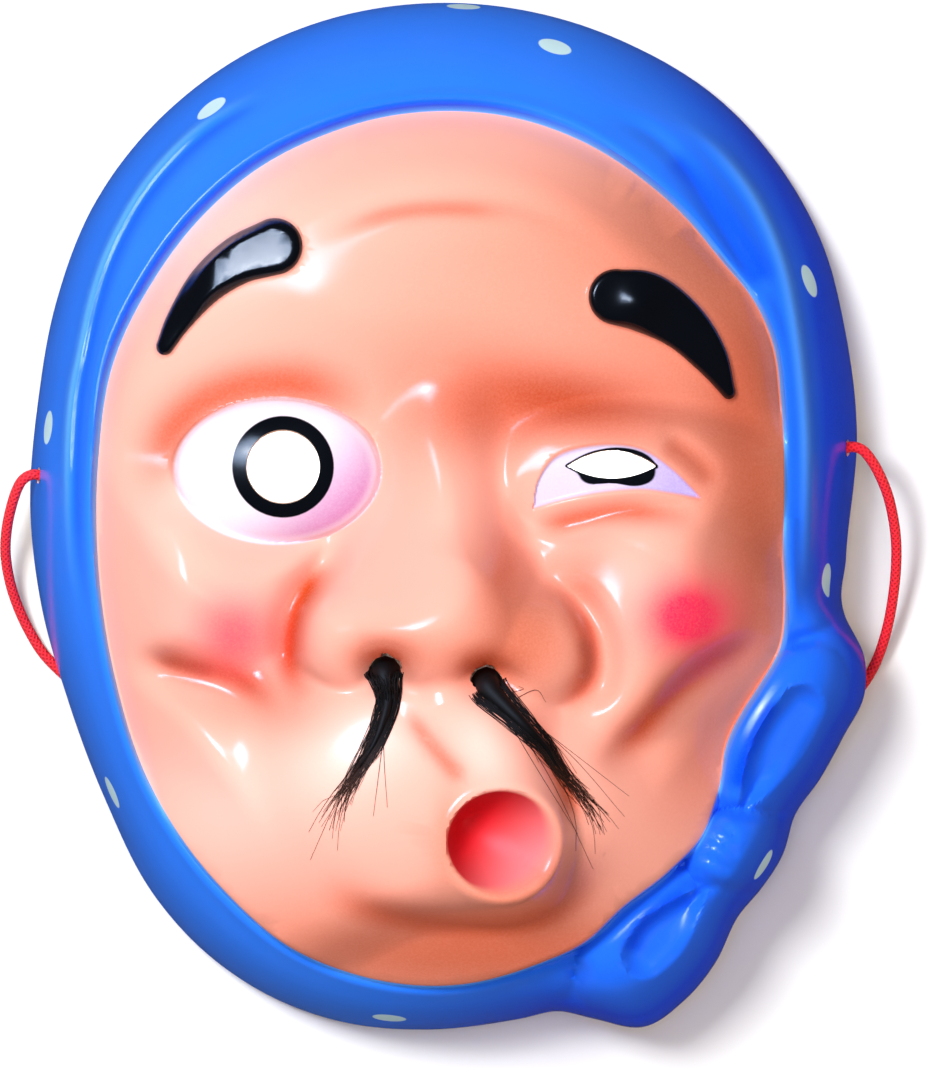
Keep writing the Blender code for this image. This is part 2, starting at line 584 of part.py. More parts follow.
def make_cord():
    """The elastic cord from hole to hole, and a stop knot inside each hole."""
    ends_of_cord = []
    for name, angle in (("cord_knot_left", LEFT_HOLE_ANGLE), ("cord_knot_right", RIGHT_HOLE_ANGLE)):
        out = hole_axis(angle)
        hole = wall_point(angle, CORD_HOLE_Z)
        middle = hole - out * (SHEET + 2 * GAP + KNOT_R)
        bm = bmesh.new()
        bmesh.ops.create_uvsphere(bm, u_segments=10, v_segments=6, radius=KNOT_R * MM)
        mesh = bpy.data.meshes.new(name)
        bm.to_mesh(mesh)
        bm.free()
        mesh.shade_smooth()
        ball_knot = add_object(name, mesh, RED, 0.6)
        ball_knot.location = middle * MM
        ends_of_cord.append([middle + out * (KNOT_R + GAP), hole + out * 1.6])
    route = [*ends_of_cord[0], *CORD_ROUTE, *reversed(ends_of_cord[1])]
    points = evenly(through(route, 12), CORD_STEP)
    make_tube("elastic_cord", points, [CORD_D / 2] * len(points), 2, RED, 0.6)


def make_hair(name, route):
    """A tuft of coarse hair as one tapered solid, hung out of its nostril."""
    points = evenly(through(route, 6), HAIR_STEP)
    make_tube(name, points[:, :3], points[:, 3], 1, BLACK, 0.45)


for old in list(bpy.data.objects):
    bpy.data.objects.remove(old, do_unlink=True)

make_shell()
make_cord()
make_hair("nostril_hair_left", LEFT_HAIR)
make_hair("nostril_hair_right", RIGHT_HAIR)
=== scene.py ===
# %% [markdown]
# # A hyottoko festival mask, lying face up
#
# The real thing is one sheet of plastic, sucked down hot over a mould, trimmed, punched and
# sprayed. A red elastic cord goes through two holes in its sides, and a tuft of real hair hangs
# from each nostril. This lesson builds the same pieces in the same order: the mould's form, the
# sheet, the trim and the punching, the paint, the cord and the hair.
#
# The measured solids come first, as a frame. Every piece is made in their space, in metres,
# with +Z out of the face and +Y towards the crown.

# %% Load the frame
import math

import bmesh
import bpy
import numpy as np
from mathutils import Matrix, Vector


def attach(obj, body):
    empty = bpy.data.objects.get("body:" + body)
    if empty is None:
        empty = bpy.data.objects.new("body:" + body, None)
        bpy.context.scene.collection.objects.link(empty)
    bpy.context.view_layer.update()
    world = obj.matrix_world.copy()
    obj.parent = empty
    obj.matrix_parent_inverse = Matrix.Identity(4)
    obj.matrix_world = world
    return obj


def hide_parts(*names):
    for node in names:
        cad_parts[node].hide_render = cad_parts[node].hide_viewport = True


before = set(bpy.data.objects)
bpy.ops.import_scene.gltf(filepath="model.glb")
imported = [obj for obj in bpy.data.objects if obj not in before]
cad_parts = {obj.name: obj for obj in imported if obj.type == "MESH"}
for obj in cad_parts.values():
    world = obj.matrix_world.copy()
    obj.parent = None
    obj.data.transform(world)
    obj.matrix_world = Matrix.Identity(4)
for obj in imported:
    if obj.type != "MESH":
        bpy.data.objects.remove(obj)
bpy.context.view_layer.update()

MM = 0.001
print("solids:", sorted(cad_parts))

# %% [markdown]
# ## The camera
#
# The mask lies on a table and was photographed from straight above through a long lens. A
# camera two metres up, whose frame takes in 245 mm at the table, gives the same flat look.
# Its shift moves the picture by about 5 mm without tilting anything.

# %% Camera
CAMERA_HEIGHT = 2.0
FRAME_TALL = 245.5 * MM
SENSOR = 24.0

bpy.ops.object.camera_add(location=(0, 0, CAMERA_HEIGHT), rotation=(0, 0, 0))
camera = bpy.context.object
camera.name = "camera"
camera.data.sensor_fit = "VERTICAL"
camera.data.sensor_height = SENSOR
camera.data.lens = SENSOR * CAMERA_HEIGHT / FRAME_TALL
camera.data.shift_x = 0.0224
camera.data.shift_y = -0.0187
camera.data.clip_end = 50.0
bpy.context.scene.camera = camera
print("lens in mm:", round(camera.data.lens, 1))

# %% [markdown]
# ## Colours and nodes
#
# Paint colours are written as the hex values a designer would pick on screen. Cycles mixes
# light in linear values, so one function converts them. A second one adds a shader node with
# its settings and links, which keeps every material below readable.

# %% Helpers for materials
def to_linear(code):
    """A six-figure hex colour as linear red, green, blue and alpha."""
    values = [int(code[k:k + 2], 16) / 255 for k in (1, 3, 5)]
    linear = [v / 12.92 if v <= 0.04045 else ((v + 0.055) / 1.055) ** 2.4 for v in values]
    return (*linear, 1.0)


def new_material(name):
    """An empty principled material and its shader."""
    material = bpy.data.materials.new(name)
    material.use_nodes = True
    shader = material.node_tree.nodes["Principled BSDF"]
    return material, shader


def node(material, kind, settings, inputs, out=0):
    """Add one node: its own settings, then a value or a link for each input, by name or number."""
    made = material.node_tree.nodes.new(kind)
    for key, value in settings.items():
        setattr(made, key, value)
    for key, value in inputs.items():
        if isinstance(value, bpy.types.NodeSocket):
            material.node_tree.links.new(value, made.inputs[key])
        else:
            made.inputs[key].default_value = value
    return made.outputs[out]


def link(material, output, socket):
    """Link a node's output to a socket of the shader."""
    material.node_tree.links.new(output, socket)


def stands_for(piece, solid):
    """Say which solid a piece stands for. Every piece rides on the root."""
    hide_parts(solid)
    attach(piece, "root")


print("mid grey paint in linear light:", round(to_linear("#808080")[0], 3))

# %% [markdown]
# ## The elastic cord
#
# A cord has one length and a weight of its own, so it is drawn before anything that is dressed
# around it. It is 2.4 mm round elastic. It leaves the left hole, drops in a small loop to the
# table, runs under the hollow of the mask and comes up to the right hole. The points are the
# same ones that the solid follows, and a smooth curve goes through them.

# %% Cord: size, ends and route
CORD_D = 2.4
CORD_HOLE_R = 1.9
LEFT_HOLE = (-92.4, 9.2, 20.0)
RIGHT_HOLE = (91.1, 15.4, 20.0)
LEFT_OUT = (-0.935, 0.093, 0.340)
RIGHT_OUT = (0.927, 0.157, 0.340)
CORD_ROUTE = [(-96.4, 7.6, 20.4), (-98.3, 3.2, 18.8), (-99.8, -3.0, 15.6), (-100.2, -9.5, 11.8),
              (-98.8, -17.5, 7.4), (-95.4, -26.0, 3.8), (-90.6, -33.2, 2.2), (-82.0, -40.0, 1.6),
              (-68.0, -45.0, 1.5), (-48.0, -48.5, 1.5), (-24.0, -50.5, 1.5), (2.0, -51.5, 1.5),
              (28.0, -52.0, 1.5), (52.0, -51.5, 1.5), (70.0, -50.0, 1.5), (83.0, -47.0, 1.6),
              (91.6, -42.5, 2.1), (97.0, -36.0, 3.2), (100.4, -27.0, 5.8), (102.2, -16.0, 9.6),
              (102.4, -6.0, 13.4), (100.8, 3.0, 17.2), (98.2, 9.6, 19.8), (95.2, 14.2, 20.9)]


def through(route, steps):
    """Points of the smooth open curve through a route's points."""
    p = np.array(route, float)
    p = np.vstack([2 * p[0] - p[1], p, 2 * p[-1] - p[-2]])
    points = []
    for a, b, c, d in zip(p, p[1:], p[2:], p[3:]):
        for t in np.linspace(0, 1, steps, endpoint=False):
            points.append(0.5 * (2 * b + (c - a) * t + (2 * a - 5 * b + 4 * c - d) * t ** 2
                                 + (3 * b - a - 3 * c + d) * t ** 3))
    points.append(p[-2])
    return np.array(points)


def beside_hole(hole, out, distance):
    """A point that far out of a cord hole, or inside it where the distance is negative."""
    return tuple(np.array(hole) + np.array(out) * distance)


cord_line = through([beside_hole(LEFT_HOLE, LEFT_OUT, -1.3), beside_hole(LEFT_HOLE, LEFT_OUT, 1.6),
                     *CORD_ROUTE,
                     beside_hole(RIGHT_HOLE, RIGHT_OUT, 1.6), beside_hole(RIGHT_HOLE, RIGHT_OUT, -1.3)], 8)

# %% [markdown]
# A bevelled curve makes the round section. It is then turned into a mesh, because the braid's
# pattern has to run along the cord and round it, and a mesh can carry that as a UV map: the
# first number is millimetres along the cord and the second is turns round it.

# %% Cord: the tube
def tube(name, points, radii, sides):
    """A closed tube through points in mm, as a mesh with U in mm along it and V round it."""
    points = np.array(points, float)
    ahead = np.gradient(points, axis=0)
    ahead = ahead / np.linalg.norm(ahead, axis=1)[:, None]
    side = np.cross(ahead[0], (0.31, 0.17, 0.94))
    run = np.concatenate([[0.0], np.cumsum(np.linalg.norm(np.diff(points, axis=0), axis=1))])
    mesh_builder = bmesh.new()
    rings = []
    for place, direction, radius in zip(points, ahead, radii):
        side = side - direction * np.dot(side, direction)
        side = side / np.linalg.norm(side)
        other = np.cross(direction, side)
        ring = []
        for k in range(sides):
            turn = 2 * math.pi * k / sides
            spot = place + (side * math.cos(turn) + other * math.sin(turn)) * radius
            ring.append(mesh_builder.verts.new(spot * MM))
        rings.append(ring)
    uv = mesh_builder.loops.layers.uv.new("along")
    for n in range(len(rings) - 1):
        for k in range(sides):
            j = (k + 1) % sides
            face = mesh_builder.faces.new((rings[n][k], rings[n][j], rings[n + 1][j], rings[n + 1][k]))
            places = [(run[n], k), (run[n], k + 1), (run[n + 1], k + 1), (run[n + 1], k)]
            for loop, (along_it, round_it) in zip(face.loops, places):
                loop[uv].uv = (along_it, round_it / sides)
    mesh_builder.faces.new(list(reversed(rings[0])))
    mesh_builder.faces.new(rings[-1])
    mesh = bpy.data.meshes.new(name)
    mesh_builder.to_mesh(mesh)
    mesh_builder.free()
    mesh.shade_smooth()
    piece = bpy.data.objects.new(name, mesh)
    bpy.context.scene.collection.objects.link(piece)
    return piece


cord = tube("elastic_cord_braid", cord_line, [CORD_D / 2] * len(cord_line), 16)
stands_for(cord, "elastic_cord")
print("cord triangles:", sum(len(p.vertices) - 2 for p in cord.data.polygons))

# %% [markdown]
# ## The mould: outlines
#
# A formed sheet can't fold under itself, so its whole shape is one number over each place in
# plan: how high it stands. That makes the mould a height map, built up from soft mounds,
# rounded crests and creases, as a carver builds up a plaster. All of it is in millimetres.
#
# Two closed outlines come first, as distances from the middle in every direction: the rim on
# the table, with the tied knot standing out at the lower right, and the edge of the flesh,
# where the scarf begins.

# %% Outlines of the rim and the face
RIM_OVAL = [(-6, 92.2), (12, 96.2), (25, 100.8), (36, 106.4), (46, 110.5), (57, 114.1),
            (68, 115.8), (79, 117.0), (91, 117.5), (102, 117.0), (113, 115.4), (122, 113.2),
            (138, 107.8), (151, 101.9), (164, 97.1), (179, 95.3), (193, 95.0), (206, 96.3),
            (220, 101.6), (233, 109.9), (241, 114.0), (249, 116.8), (258, 118.2), (268, 117.6)]
RIM_KNOT = [(278.5, 116.3), (283, 116.2), (286.5, 119.8), (291, 125.0), (296, 123.4),
            (301, 119.2), (306, 113.2), (310, 111.5), (315, 108.9), (319, 105.2),
            (325, 104.4), (331, 103.8), (337, 103.8), (341.5, 100.6), (346, 94.0)]
FACE_EDGE = [(6, 76.0), (19, 79.3), (28, 82.8), (35, 84.1), (43, 84.1), (51, 85.6), (59, 87.1),
             (70, 89.2), (80, 90.4), (91, 90.6), (98, 90.4), (108, 89.5), (117, 88.6),
             (130, 86.3), (141, 84.1), (155, 82.0), (171, 78.8), (187, 78.5), (206, 82.4),
             (222, 89.2), (239, 96.9), (251, 102.4), (262, 104.7), (271, 104.6), (282, 101.7),
             (288, 99.8), (294, 95.6), (302, 93.4), (308, 91.6), (315, 86.1), (320, 81.4),
             (327, 79.4), (331, 79.6), (339, 80.3), (346, 78.2), (353, 76.0)]


def closed_curve(points, angle):
    """Radius of the smooth closed curve through (angle, radius) points."""
    points = sorted((a % 360, r) for a, r in points)
    a = np.array([p[0] for p in points])
    r = np.array([p[1] for p in points])
    a = np.concatenate([a[-2:] - 360, a, a[:2] + 360])
    r = np.concatenate([r[-2:], r, r[:2]])
    slope = np.gradient(r, a)
    angle = np.mod(angle, 360)
    i = np.clip(np.searchsorted(a, angle) - 1, 0, len(a) - 2)
    width = a[i + 1] - a[i]
    t = (angle - a[i]) / width
    rise = 3 * t ** 2 - 2 * t ** 3
    return ((1 - rise) * r[i] + rise * r[i + 1]
            + (t ** 3 - 2 * t ** 2 + t) * width * slope[i]
            + (t ** 3 - t ** 2) * width * slope[i + 1])


RIM = RIM_OVAL + RIM_KNOT
print("rim, crown to chin in mm:", round(float(closed_curve(RIM, 90.0) + closed_curve(RIM, 270.0)), 1))

# %% [markdown]
# ## The mould: a carver's tools
#
# These few functions are the whole tool roll. `mound` adds a soft swelling. `ball`, `cap` and
# `crest` are solid forms, and `higher` joins one to what is there with a fillet, so that a
# nose grows out of a cheek. `ridge` draws a soft line, up or down, and `fold` makes one side
# of a line stand over the other, which is what a crease in skin does.

# %% Tools for soft forms
def smooth(low, high, value):
    """0 at low, 1 at high and an S curve between them."""
    t = np.clip((value - low) / (high - low), 0.0, 1.0)
    return t * t * (3.0 - 2.0 * t)


def higher(a, b, blend):
    """The higher of two surfaces, with a fillet where they cross."""
    h = np.clip(0.5 + 0.5 * (a - b) / blend, 0.0, 1.0)
    return b + (a - b) * h + blend * h * (1.0 - h)


def lower(a, b, blend):
    """The lower of two surfaces, with a fillet where they cross."""
    return -higher(-a, -b, blend)


def oval(x, y, centre, half, turn=0.0):
    """Distance from an oval's centre, 1 on its edge."""
    c = math.cos(math.radians(turn))
    s = math.sin(math.radians(turn))
    dx = x - centre[0]
    dy = y - centre[1]
    return np.hypot((dx * c + dy * s) / half[0], (dy * c - dx * s) / half[1])


def mound(x, y, centre, half, height, turn=0.0):
    """A soft swelling, or a hollow when height is negative."""
    return height * np.exp(-oval(x, y, centre, half, turn) ** 2)


def cap(x, y, centre, half, top, drop, turn=0.0):
    """A paraboloid, lower by drop on its oval's edge and falling on outside."""
    return top - drop * oval(x, y, centre, half, turn) ** 2


def ball(x, y, centre, half, top, height, turn=0.0):
    """Half an ellipsoid whose foot runs on as a straight slope."""
    foot = 0.92
    d = oval(x, y, centre, half, turn)
    inner = np.sqrt(1.0 - np.minimum(d, foot) ** 2)
    slope = height * foot / math.sqrt(1.0 - foot * foot)
    return top - height * (1.0 - inner) - slope * np.maximum(d - foot, 0.0)


def crest(x, y, start, end, tops, width, drop, power=2.0):
    """A straight rounded crest whose height runs smoothly through tops."""
    dx = end[0] - start[0]
    dy = end[1] - start[1]
    on = np.clip(((x - start[0]) * dx + (y - start[1]) * dy) / (dx * dx + dy * dy), 0.0, 1.0)
    away = np.hypot(x - start[0] - on * dx, y - start[1] - on * dy)
    line = np.polyfit(np.linspace(0, 1, len(tops)), tops, len(tops) - 1)
    return np.polyval(line, on) - drop * (away / width) ** power


print("a fillet lifts the join by", round(float(higher(5.0, 5.0, 2.0)) - 5.0, 2), "mm")

# %% [markdown]
# Lines across the face need a distance to a curved route, the side a place lies on, and how
# far along it is. Only the places near the route are worked out, which keeps this quick.

# %% Tools for lines and creases
def along(x, y, route, reach):
    """Distance to a route within reach, the side (+ on its left), how far along from 0 to 1,
    and the route's third column there."""
    line = through(route, 10)
    low = line[:, :2].min(axis=0) - reach
    high = line[:, :2].max(axis=0) + reach
    near = (x > low[0]) & (x < high[0]) & (y > low[1]) & (y < high[1])
    px = x[near]
    py = y[near]
    distance = np.full(px.shape, 1000.0)
    side = np.ones(px.shape)
    where = np.zeros(px.shape)
    third = np.zeros(px.shape)
    for k in range(len(line) - 1):
        dx, dy = line[k + 1, :2] - line[k, :2]
        on = ((px - line[k, 0]) * dx + (py - line[k, 1]) * dy) / (dx * dx + dy * dy)
        on = np.clip(on, 0.0, 1.0)
        ex = px - line[k, 0] - on * dx
        ey = py - line[k, 1] - on * dy
        closer = np.hypot(ex, ey) < distance
        distance = np.where(closer, np.hypot(ex, ey), distance)
        side = np.where(closer, np.sign(dx * ey - dy * ex), side)
        where = np.where(closer, (k + on) / (len(line) - 1), where)
        if line.shape[1] > 2:
            third = np.where(closer, line[k, 2] + on * (line[k + 1, 2] - line[k, 2]), third)
    found = [np.full(x.shape, 1000.0), np.ones(x.shape), np.zeros(x.shape), np.zeros(x.shape)]
    for whole, part in zip(found, (distance, side, where, third)):
        whole[near] = part
    return found


def ends(where, share):
    """1 along a route, easing to 0 over a share of it at both ends."""
    return smooth(0.0, share, where) * smooth(0.0, share, 1.0 - where)


def ridge(x, y, route, width, height, share=0.25):
    """A soft raised line, or a groove when height is negative, fading at its ends."""
    distance, _, where, _ = along(x, y, route, 4 * width)
    return height * np.exp(-(distance / width) ** 2) * ends(where, share)


def fold(x, y, route, width, height, share=0.25):
    """A crease: the left of the route stands over its right by height, easing away."""
    distance, side, where, _ = along(x, y, route, 9 * width)
    step = np.tanh(distance * side / width) * np.exp(-(distance / (3 * width)) ** 2)
    return 0.5 * height * step * ends(where, share)


def stroke(x, y, route):
    """Distance outside a tapered stroke, negative inside it."""
    distance, _, _, half = along(x, y, route, 20)
    return distance - half

# %% [markdown]
# ## The mould: forehead and cheeks
#
# The flesh is a low dome that ends 45 mm above the table. The forehead bulges out of it, with
# one long wrinkle. The cheeks are drawn in towards the pout: a firm bag under each eye, a
# jowl below, and on the side of the wink a pouch that is pulled right down beside the mouth.

# %% Forehead and cheeks
EDGE_Z = 45.0
DOME_RISE = 17.0
HEM_STEP = 3.0
HEM_GROOVE = 1.0
EDGE_SLOPE = 1.1


def dome(edge, r):
    """The plain dome of the face."""
    return EDGE_Z + DOME_RISE * (1.0 - np.clip(r / edge, 0.0, 1.0) ** 2.6)


def forehead(x, y, z):
    z = higher(z, cap(x, y, (2, 50), (62, 38), 65.0, 9.0), 9.0)
    wrinkle = [(-32, 59), (-12.4, 67.0), (0.9, 68.6), (16.3, 67.2), (38, 59)]
    z = z + fold(x, y, wrinkle, 2.0, -2.0, 0.3)
    z = z + mound(x, y, (-26, 47), (15, 12), 1.5, -30)
    z = z + mound(x, y, (-35, 17), (24, 18), -4.0)
    z = z + mound(x, y, (36, 14), (30, 17), -6.0)
    return z + mound(x, y, (0, 27), (18, 12), -3.0)


def cheeks(x, y, z):
    z = higher(z, ball(x, y, (-50, -15.5), (25, 15), 65.5, 8.0, -12), 11.0)
    pouch = crest(x, y, (48, -10), (29.5, -46), (67.5, 71.5, 72.0, 69.5), 18.0, 9.0)
    right = higher(ball(x, y, (45, -17), (26, 20), 69.0, 9.0, 20), pouch, 7.0)
    z = higher(z, right, 6.0)
    z = higher(z, cap(x, y, (-46, -60), (28, 25), 64.5, 9.0), 6.0)
    return higher(z, cap(x, y, (48, -64), (20, 25), 61.0, 9.0, 20), 5.0)


# %% [markdown]
# ## The mould: nose, muzzle and mouth
#
# The nose is a short bridge that swells into one broad ball with a wing at each side. Under
# it the upper lip is a barrel with a soft ridge running down to the mouth. The mouth itself
# is a stub of pipe that leans to the lower right. Its bowl is closed: the sheet only dips.

# %% Nose, muzzle and pipe mouth
MOUTH = (11.8, -71.3)
MOUTH_R = 14.4
BOWL = (12.4, -71.5)
BOWL_HALF = (12.2, 11.5)
BOWL_DEEP = (4.2, -67.2)
BOWL_DEPTH = 11.5
LIP = 3.7
LEFT_NOSTRIL = (-13.5, -34.5)
RIGHT_NOSTRIL = (9.0, -37.0)


def muzzle(x, y, z):
    d = np.sqrt(oval(x, y, (1, -61), (34, 26), -12) ** 2 + 0.03)
    z = higher(z, lower(82.6 - 8.5 * d, 101.0 - 28.0 * d, 3.5), 4.0)
    z = higher(z, ball(x, y, (-24, -42.5), (10, 7), 70.0, 5.0, 12), 5.0)
    z = higher(z, crest(x, y, (2, -40), (14, -66), (79, 83, 86, 89), 10.5, 10.0, 3.2), 2.0)
    lip_groove = [(-11, -40), (-8.8, -45), (-4.2, -51), (1, -56), (5, -59.5)]
    beside_pipe = [(14, -41), (19.5, -50), (25.5, -61), (29, -69)]
    z = z + ridge(x, y, lip_groove, 2.2, -3.0, 0.3)
    return z + ridge(x, y, beside_pipe, 2.6, -2.6, 0.3)


def nose(x, y, z):
    bridge = crest(x, y, (1, 34), (-5, -16), (60.5, 66.0, 73.0, 82.0), 13.0, 7.5)
    tip = ball(x, y, (-3.0, -22), (18, 15), 87.5, 13.0)
    base = ball(x, y, (-1.0, -26.0), (28, 13.5), 83.5, 15.0, -4)
    left_wing = ball(x, y, (-21.0, -27), (11.5, 12.0), 79.5, 13.0)
    right_wing = ball(x, y, (20.5, -30), (12.5, 13.0), 80.0, 13.0)
    whole = higher(higher(bridge, tip, 8.0), base, 5.0)
    whole = higher(whole, higher(left_wing, right_wing, 4.0), 4.0)
    z = higher(z, whole, 4.5)
    for centre in (LEFT_NOSTRIL, RIGHT_NOSTRIL):
        z = z + mound(x, y, (centre[0], centre[1] + 1.0), (5.6, 4.4), -6.5)
    return z


def bowl_contour(x, y):
    """0 at the bowl's deepest place, 1 on its rim. The deepest place is near the upper left."""
    across = (x - BOWL_DEEP[0]) / BOWL_HALF[0]
    over_it = (y - BOWL_DEEP[1]) / BOWL_HALF[1]
    off_x = (BOWL[0] - BOWL_DEEP[0]) / BOWL_HALF[0]
    off_y = (BOWL[1] - BOWL_DEEP[1]) / BOWL_HALF[1]
    room = 1.0 - off_x ** 2 - off_y ** 2
    toward = across * off_x + over_it * off_y
    return (np.sqrt(toward ** 2 + room * (across ** 2 + over_it ** 2)) - toward) / room


def pipe_mouth(x, y, z):
    dx = x - MOUTH[0]
    dy = y - MOUTH[1]
    d = np.hypot(dx, dy)
    lower_right = (0.8 * dx - 0.6 * dy) / np.maximum(d, 1.0)
    lean = 0.10 * dx - 0.10 * dy
    slope = 0.8 + 2.4 * smooth(-0.5, 0.6, lower_right)
    drop = 2.2 + 2.8 * smooth(-0.5, 0.6, lower_right)
    steepest = slope * LIP / drop
    furthest = steepest / np.sqrt(1.0 + steepest ** 2)
    lip = np.clip((d - MOUTH_R + LIP) / LIP, 0.0, furthest)
    beyond = np.maximum(d - MOUTH_R + LIP * (1.0 - furthest), 0.0)
    wall = 89.3 - lean - drop * (1.0 - np.sqrt(1.0 - lip ** 2)) - slope * beyond
    z = higher(z, wall, 5.0)
    bowl = 88.8 - lean - BOWL_DEPTH * (1.0 - bowl_contour(x, y) ** 1.9)
    return lower(z, bowl, 1.1 + 3.4 * smooth(-0.2, 0.9, lower_right) * smooth(3.0, 9.0, d))


def creases(x, y, z):
    left_cheek = [(-72, -28), (-62, -31), (-52, -34), (-43, -39), (-33, -46)]
    right_cheek = [(72, -26), (60, -30), (51, -36), (42, -46), (31, -57)]
    left_wing = [(-18, -6), (-26, -10), (-33.0, -18), (-35, -28), (-33, -38)]
    right_wing = [(22, -13), (30, -19), (35, -28), (34, -38), (25, -42)]
    under_lip = [(-24, -83), (-14, -86), (-2, -88), (12, -88.5), (24, -85), (30, -77)]
    eye_bag = [(-68, 4), (-68.2, -2), (-65, -9), (-58, -15), (-51, -20.5), (-45, -26)]
    z = z + ridge(x, y, eye_bag, 3.4, 0.9, 0.3)
    z = z + fold(x, y, left_cheek, 2.6, 4.6, 0.3)
    z = z + fold(x, y, right_cheek, 3.0, -4.8, 0.2)
    z = z + ridge(x, y, left_wing, 4.6, -4.6, 0.3)
    z = z + ridge(x, y, right_wing, 3.4, -4.2, 0.3)
    return z + fold(x, y, under_lip, 2.6, 4.5)


# %% [markdown]
# ## The mould: eyes and brows
#
# One eye stares: a socket is cut round it and an egg-shaped ball bulges out of the socket. The
# other winks: the lids puff up in a ring and leave a thin lens between them. Each brow is a
# fat comma with a crisp foot, so that the black paint has an edge to stop at. The thick end of
# the left one is planed flat and tilted, and mirrors the softbox whole. The right one has a
# small swelling there, which gathers the same light to a spot.

# %% Eyes and brows
LEFT_EYE = (-37.5, 10.0)
LEFT_EYE_HALF = (23.5, 16.6)
LEFT_PUPIL = (-36.1, 10.9)
RIGHT_LID_TOP = [(19.4, 1.8), (20.6, 8.0), (25.0, 13.4), (34.0, 15.6), (43.0, 14.8),
                 (50.0, 10.4), (56.5, 4.0)]
RIGHT_LID_BOTTOM = [(19.4, 1.8), (25.3, 3.5), (34.1, 5.3), (43.0, 6.0), (49.7, 5.2), (56.5, 4.0)]
LEFT_BROW = [(-62.6, 37.8, 2.0), (-59.4, 43.6, 3.0), (-53.4, 51.4, 4.4), (-46.1, 56.9, 5.5),
             (-38.2, 59.8, 6.4)]
BROW_FLAT = (-43.6, 57.7, 63.6)
BROW_TILT = (0.23, -0.17)
BROW_SWELLING = (43.0, 47.0)
RIGHT_BROW = [(37.8, 48.6, 6.2), (45.0, 47.2, 6.8), (52.8, 42.2, 5.6), (58.8, 35.2, 4.0),
              (63.0, 27.6, 1.6)]


def round_eye(x, y, z):
    rim = 0.94
    d = oval(x, y, LEFT_EYE, LEFT_EYE_HALF)
    z = lower(z, 58.5 + 20.0 * np.maximum(d - 0.9, 0.0), 5.5)
    bulge = 66.5 - 10.0 * (1.0 - np.sqrt(1.0 - np.minimum(d, rim) ** 2))
    bulge = bulge + 0.1 * (x - LEFT_EYE[0])
    return higher(z, bulge - 60.0 * np.maximum(d - rim, 0.0), 0.8)


def between_lids(x, y):
    """How far a place lies inside the winking eye's lens, negative outside it."""
    top = through(RIGHT_LID_TOP, 10)
    bottom = through(RIGHT_LID_BOTTOM, 10)
    below_top = np.interp(x, top[:, 0], top[:, 1], left=-99, right=-99) - y
    above_bottom = y - np.interp(x, bottom[:, 0], bottom[:, 1])
    return np.minimum(below_top, above_bottom)


def winking_eye(x, y, z):
    puff = [(17, 14), (14.6, 7), (14.4, 1), (17, -3.5), (24, -5.4), (34, -5)]
    under = [(20, -2), (28, -0.8), (38, 1.0), (50, 1.0), (60, -1)]
    outer = [(46, 19.5), (54, 14), (63, 6)]
    z = z + ridge(x, y, puff, 2.5, 1.0)
    z = z + ridge(x, y, under, 3.3, -2.0)
    z = z + ridge(x, y, outer, 3.4, -1.8, 0.35)
    return z - 1.5 * smooth(-0.9, 0.9, between_lids(x, y))


def brows(x, y, z):
    for route in (LEFT_BROW, RIGHT_BROW):
        d = stroke(x, y, route)
        inward = np.clip(-d / 2.0, 0.0, 1.0)
        z = z + 1.0 * smooth(0.7, -0.5, d) + 2.0 * np.sqrt(1.0 - (1.0 - inward) ** 2.4)
    on_right = smooth(0.2, -1.5, stroke(x, y, RIGHT_BROW))
    z = z + mound(x, y, BROW_SWELLING, (4.5, 4.5), 2.4) * on_right
    on_left = smooth(-0.5, -2.4, stroke(x, y, LEFT_BROW)) * smooth(-60, -51, x)
    dx = x - BROW_FLAT[0]
    dy = y - BROW_FLAT[1]
    flat = BROW_FLAT[2] + BROW_TILT[0] * dx + BROW_TILT[1] * dy - 0.002 * (dx ** 2 + dy ** 2)
    return z * (1 - on_left) + flat * on_left


# %% [markdown]
# ## The mould: scarf and knot
#
# The scarf is the mask's side wall. It rises from the rim like a quarter of an ellipse, rolls
# over in a hem that stands a little prouder than the flesh, and carries the long folds of
# stretched cloth. At the lower right its two ends are tied. Each end is a looped fold with a
# drop-shaped hollow in it, and a tight wrap with fine creases sits between them. Notches part
# the wrap from the folds.

# %% Scarf and knot
WALL_POWER = 1.6
KNOT_WALL_POWER = 2.5
WASTE_SLOPE = 3.0
UPPER_DIMPLE = [(79.5, -43.0, 4.8), (75.5, -49.5, 5.4), (71.0, -57.0, 4.0), (66.8, -64.5, 0.8)]
LOWER_DIMPLE = [(57.0, -84.0, 0.8), (52.5, -89.0, 3.4), (48.0, -94.0, 5.2), (44.5, -98.0, 4.8)]
DIMPLE_DEPTH = 5.2
WRAP_CREASES = [((58.5, -67.5), (66, -73)), ((57.5, -71), (66, -76.5)), ((55.5, -75), (64.5, -80)),
                ((54.5, -78.5), (62, -83.5))]
KNOT_NOTCHES = [([(60, -65.0), (66, -66.2), (73, -67.2), (82, -69.5)], 1.6, -2.4),
                ([(51, -80.5), (58, -82.5), (66, -84.5), (73, -88)], 1.6, -2.4),
                ([(75, -28), (80, -27.5), (85, -25.5), (90, -22)], 1.8, -2.4),
                ([(31, -98), (29.5, -103), (28, -108), (26, -112)], 2.2, -2.8)]
RIGHT_FOLD = [(48, 92), (58.2, 85), (65, 78), (70.8, 69), (75.3, 57.5), (77.8, 46), (79.4, 34),
              (80.6, 20), (80.8, 6), (80.3, -10), (78.4, -22)]
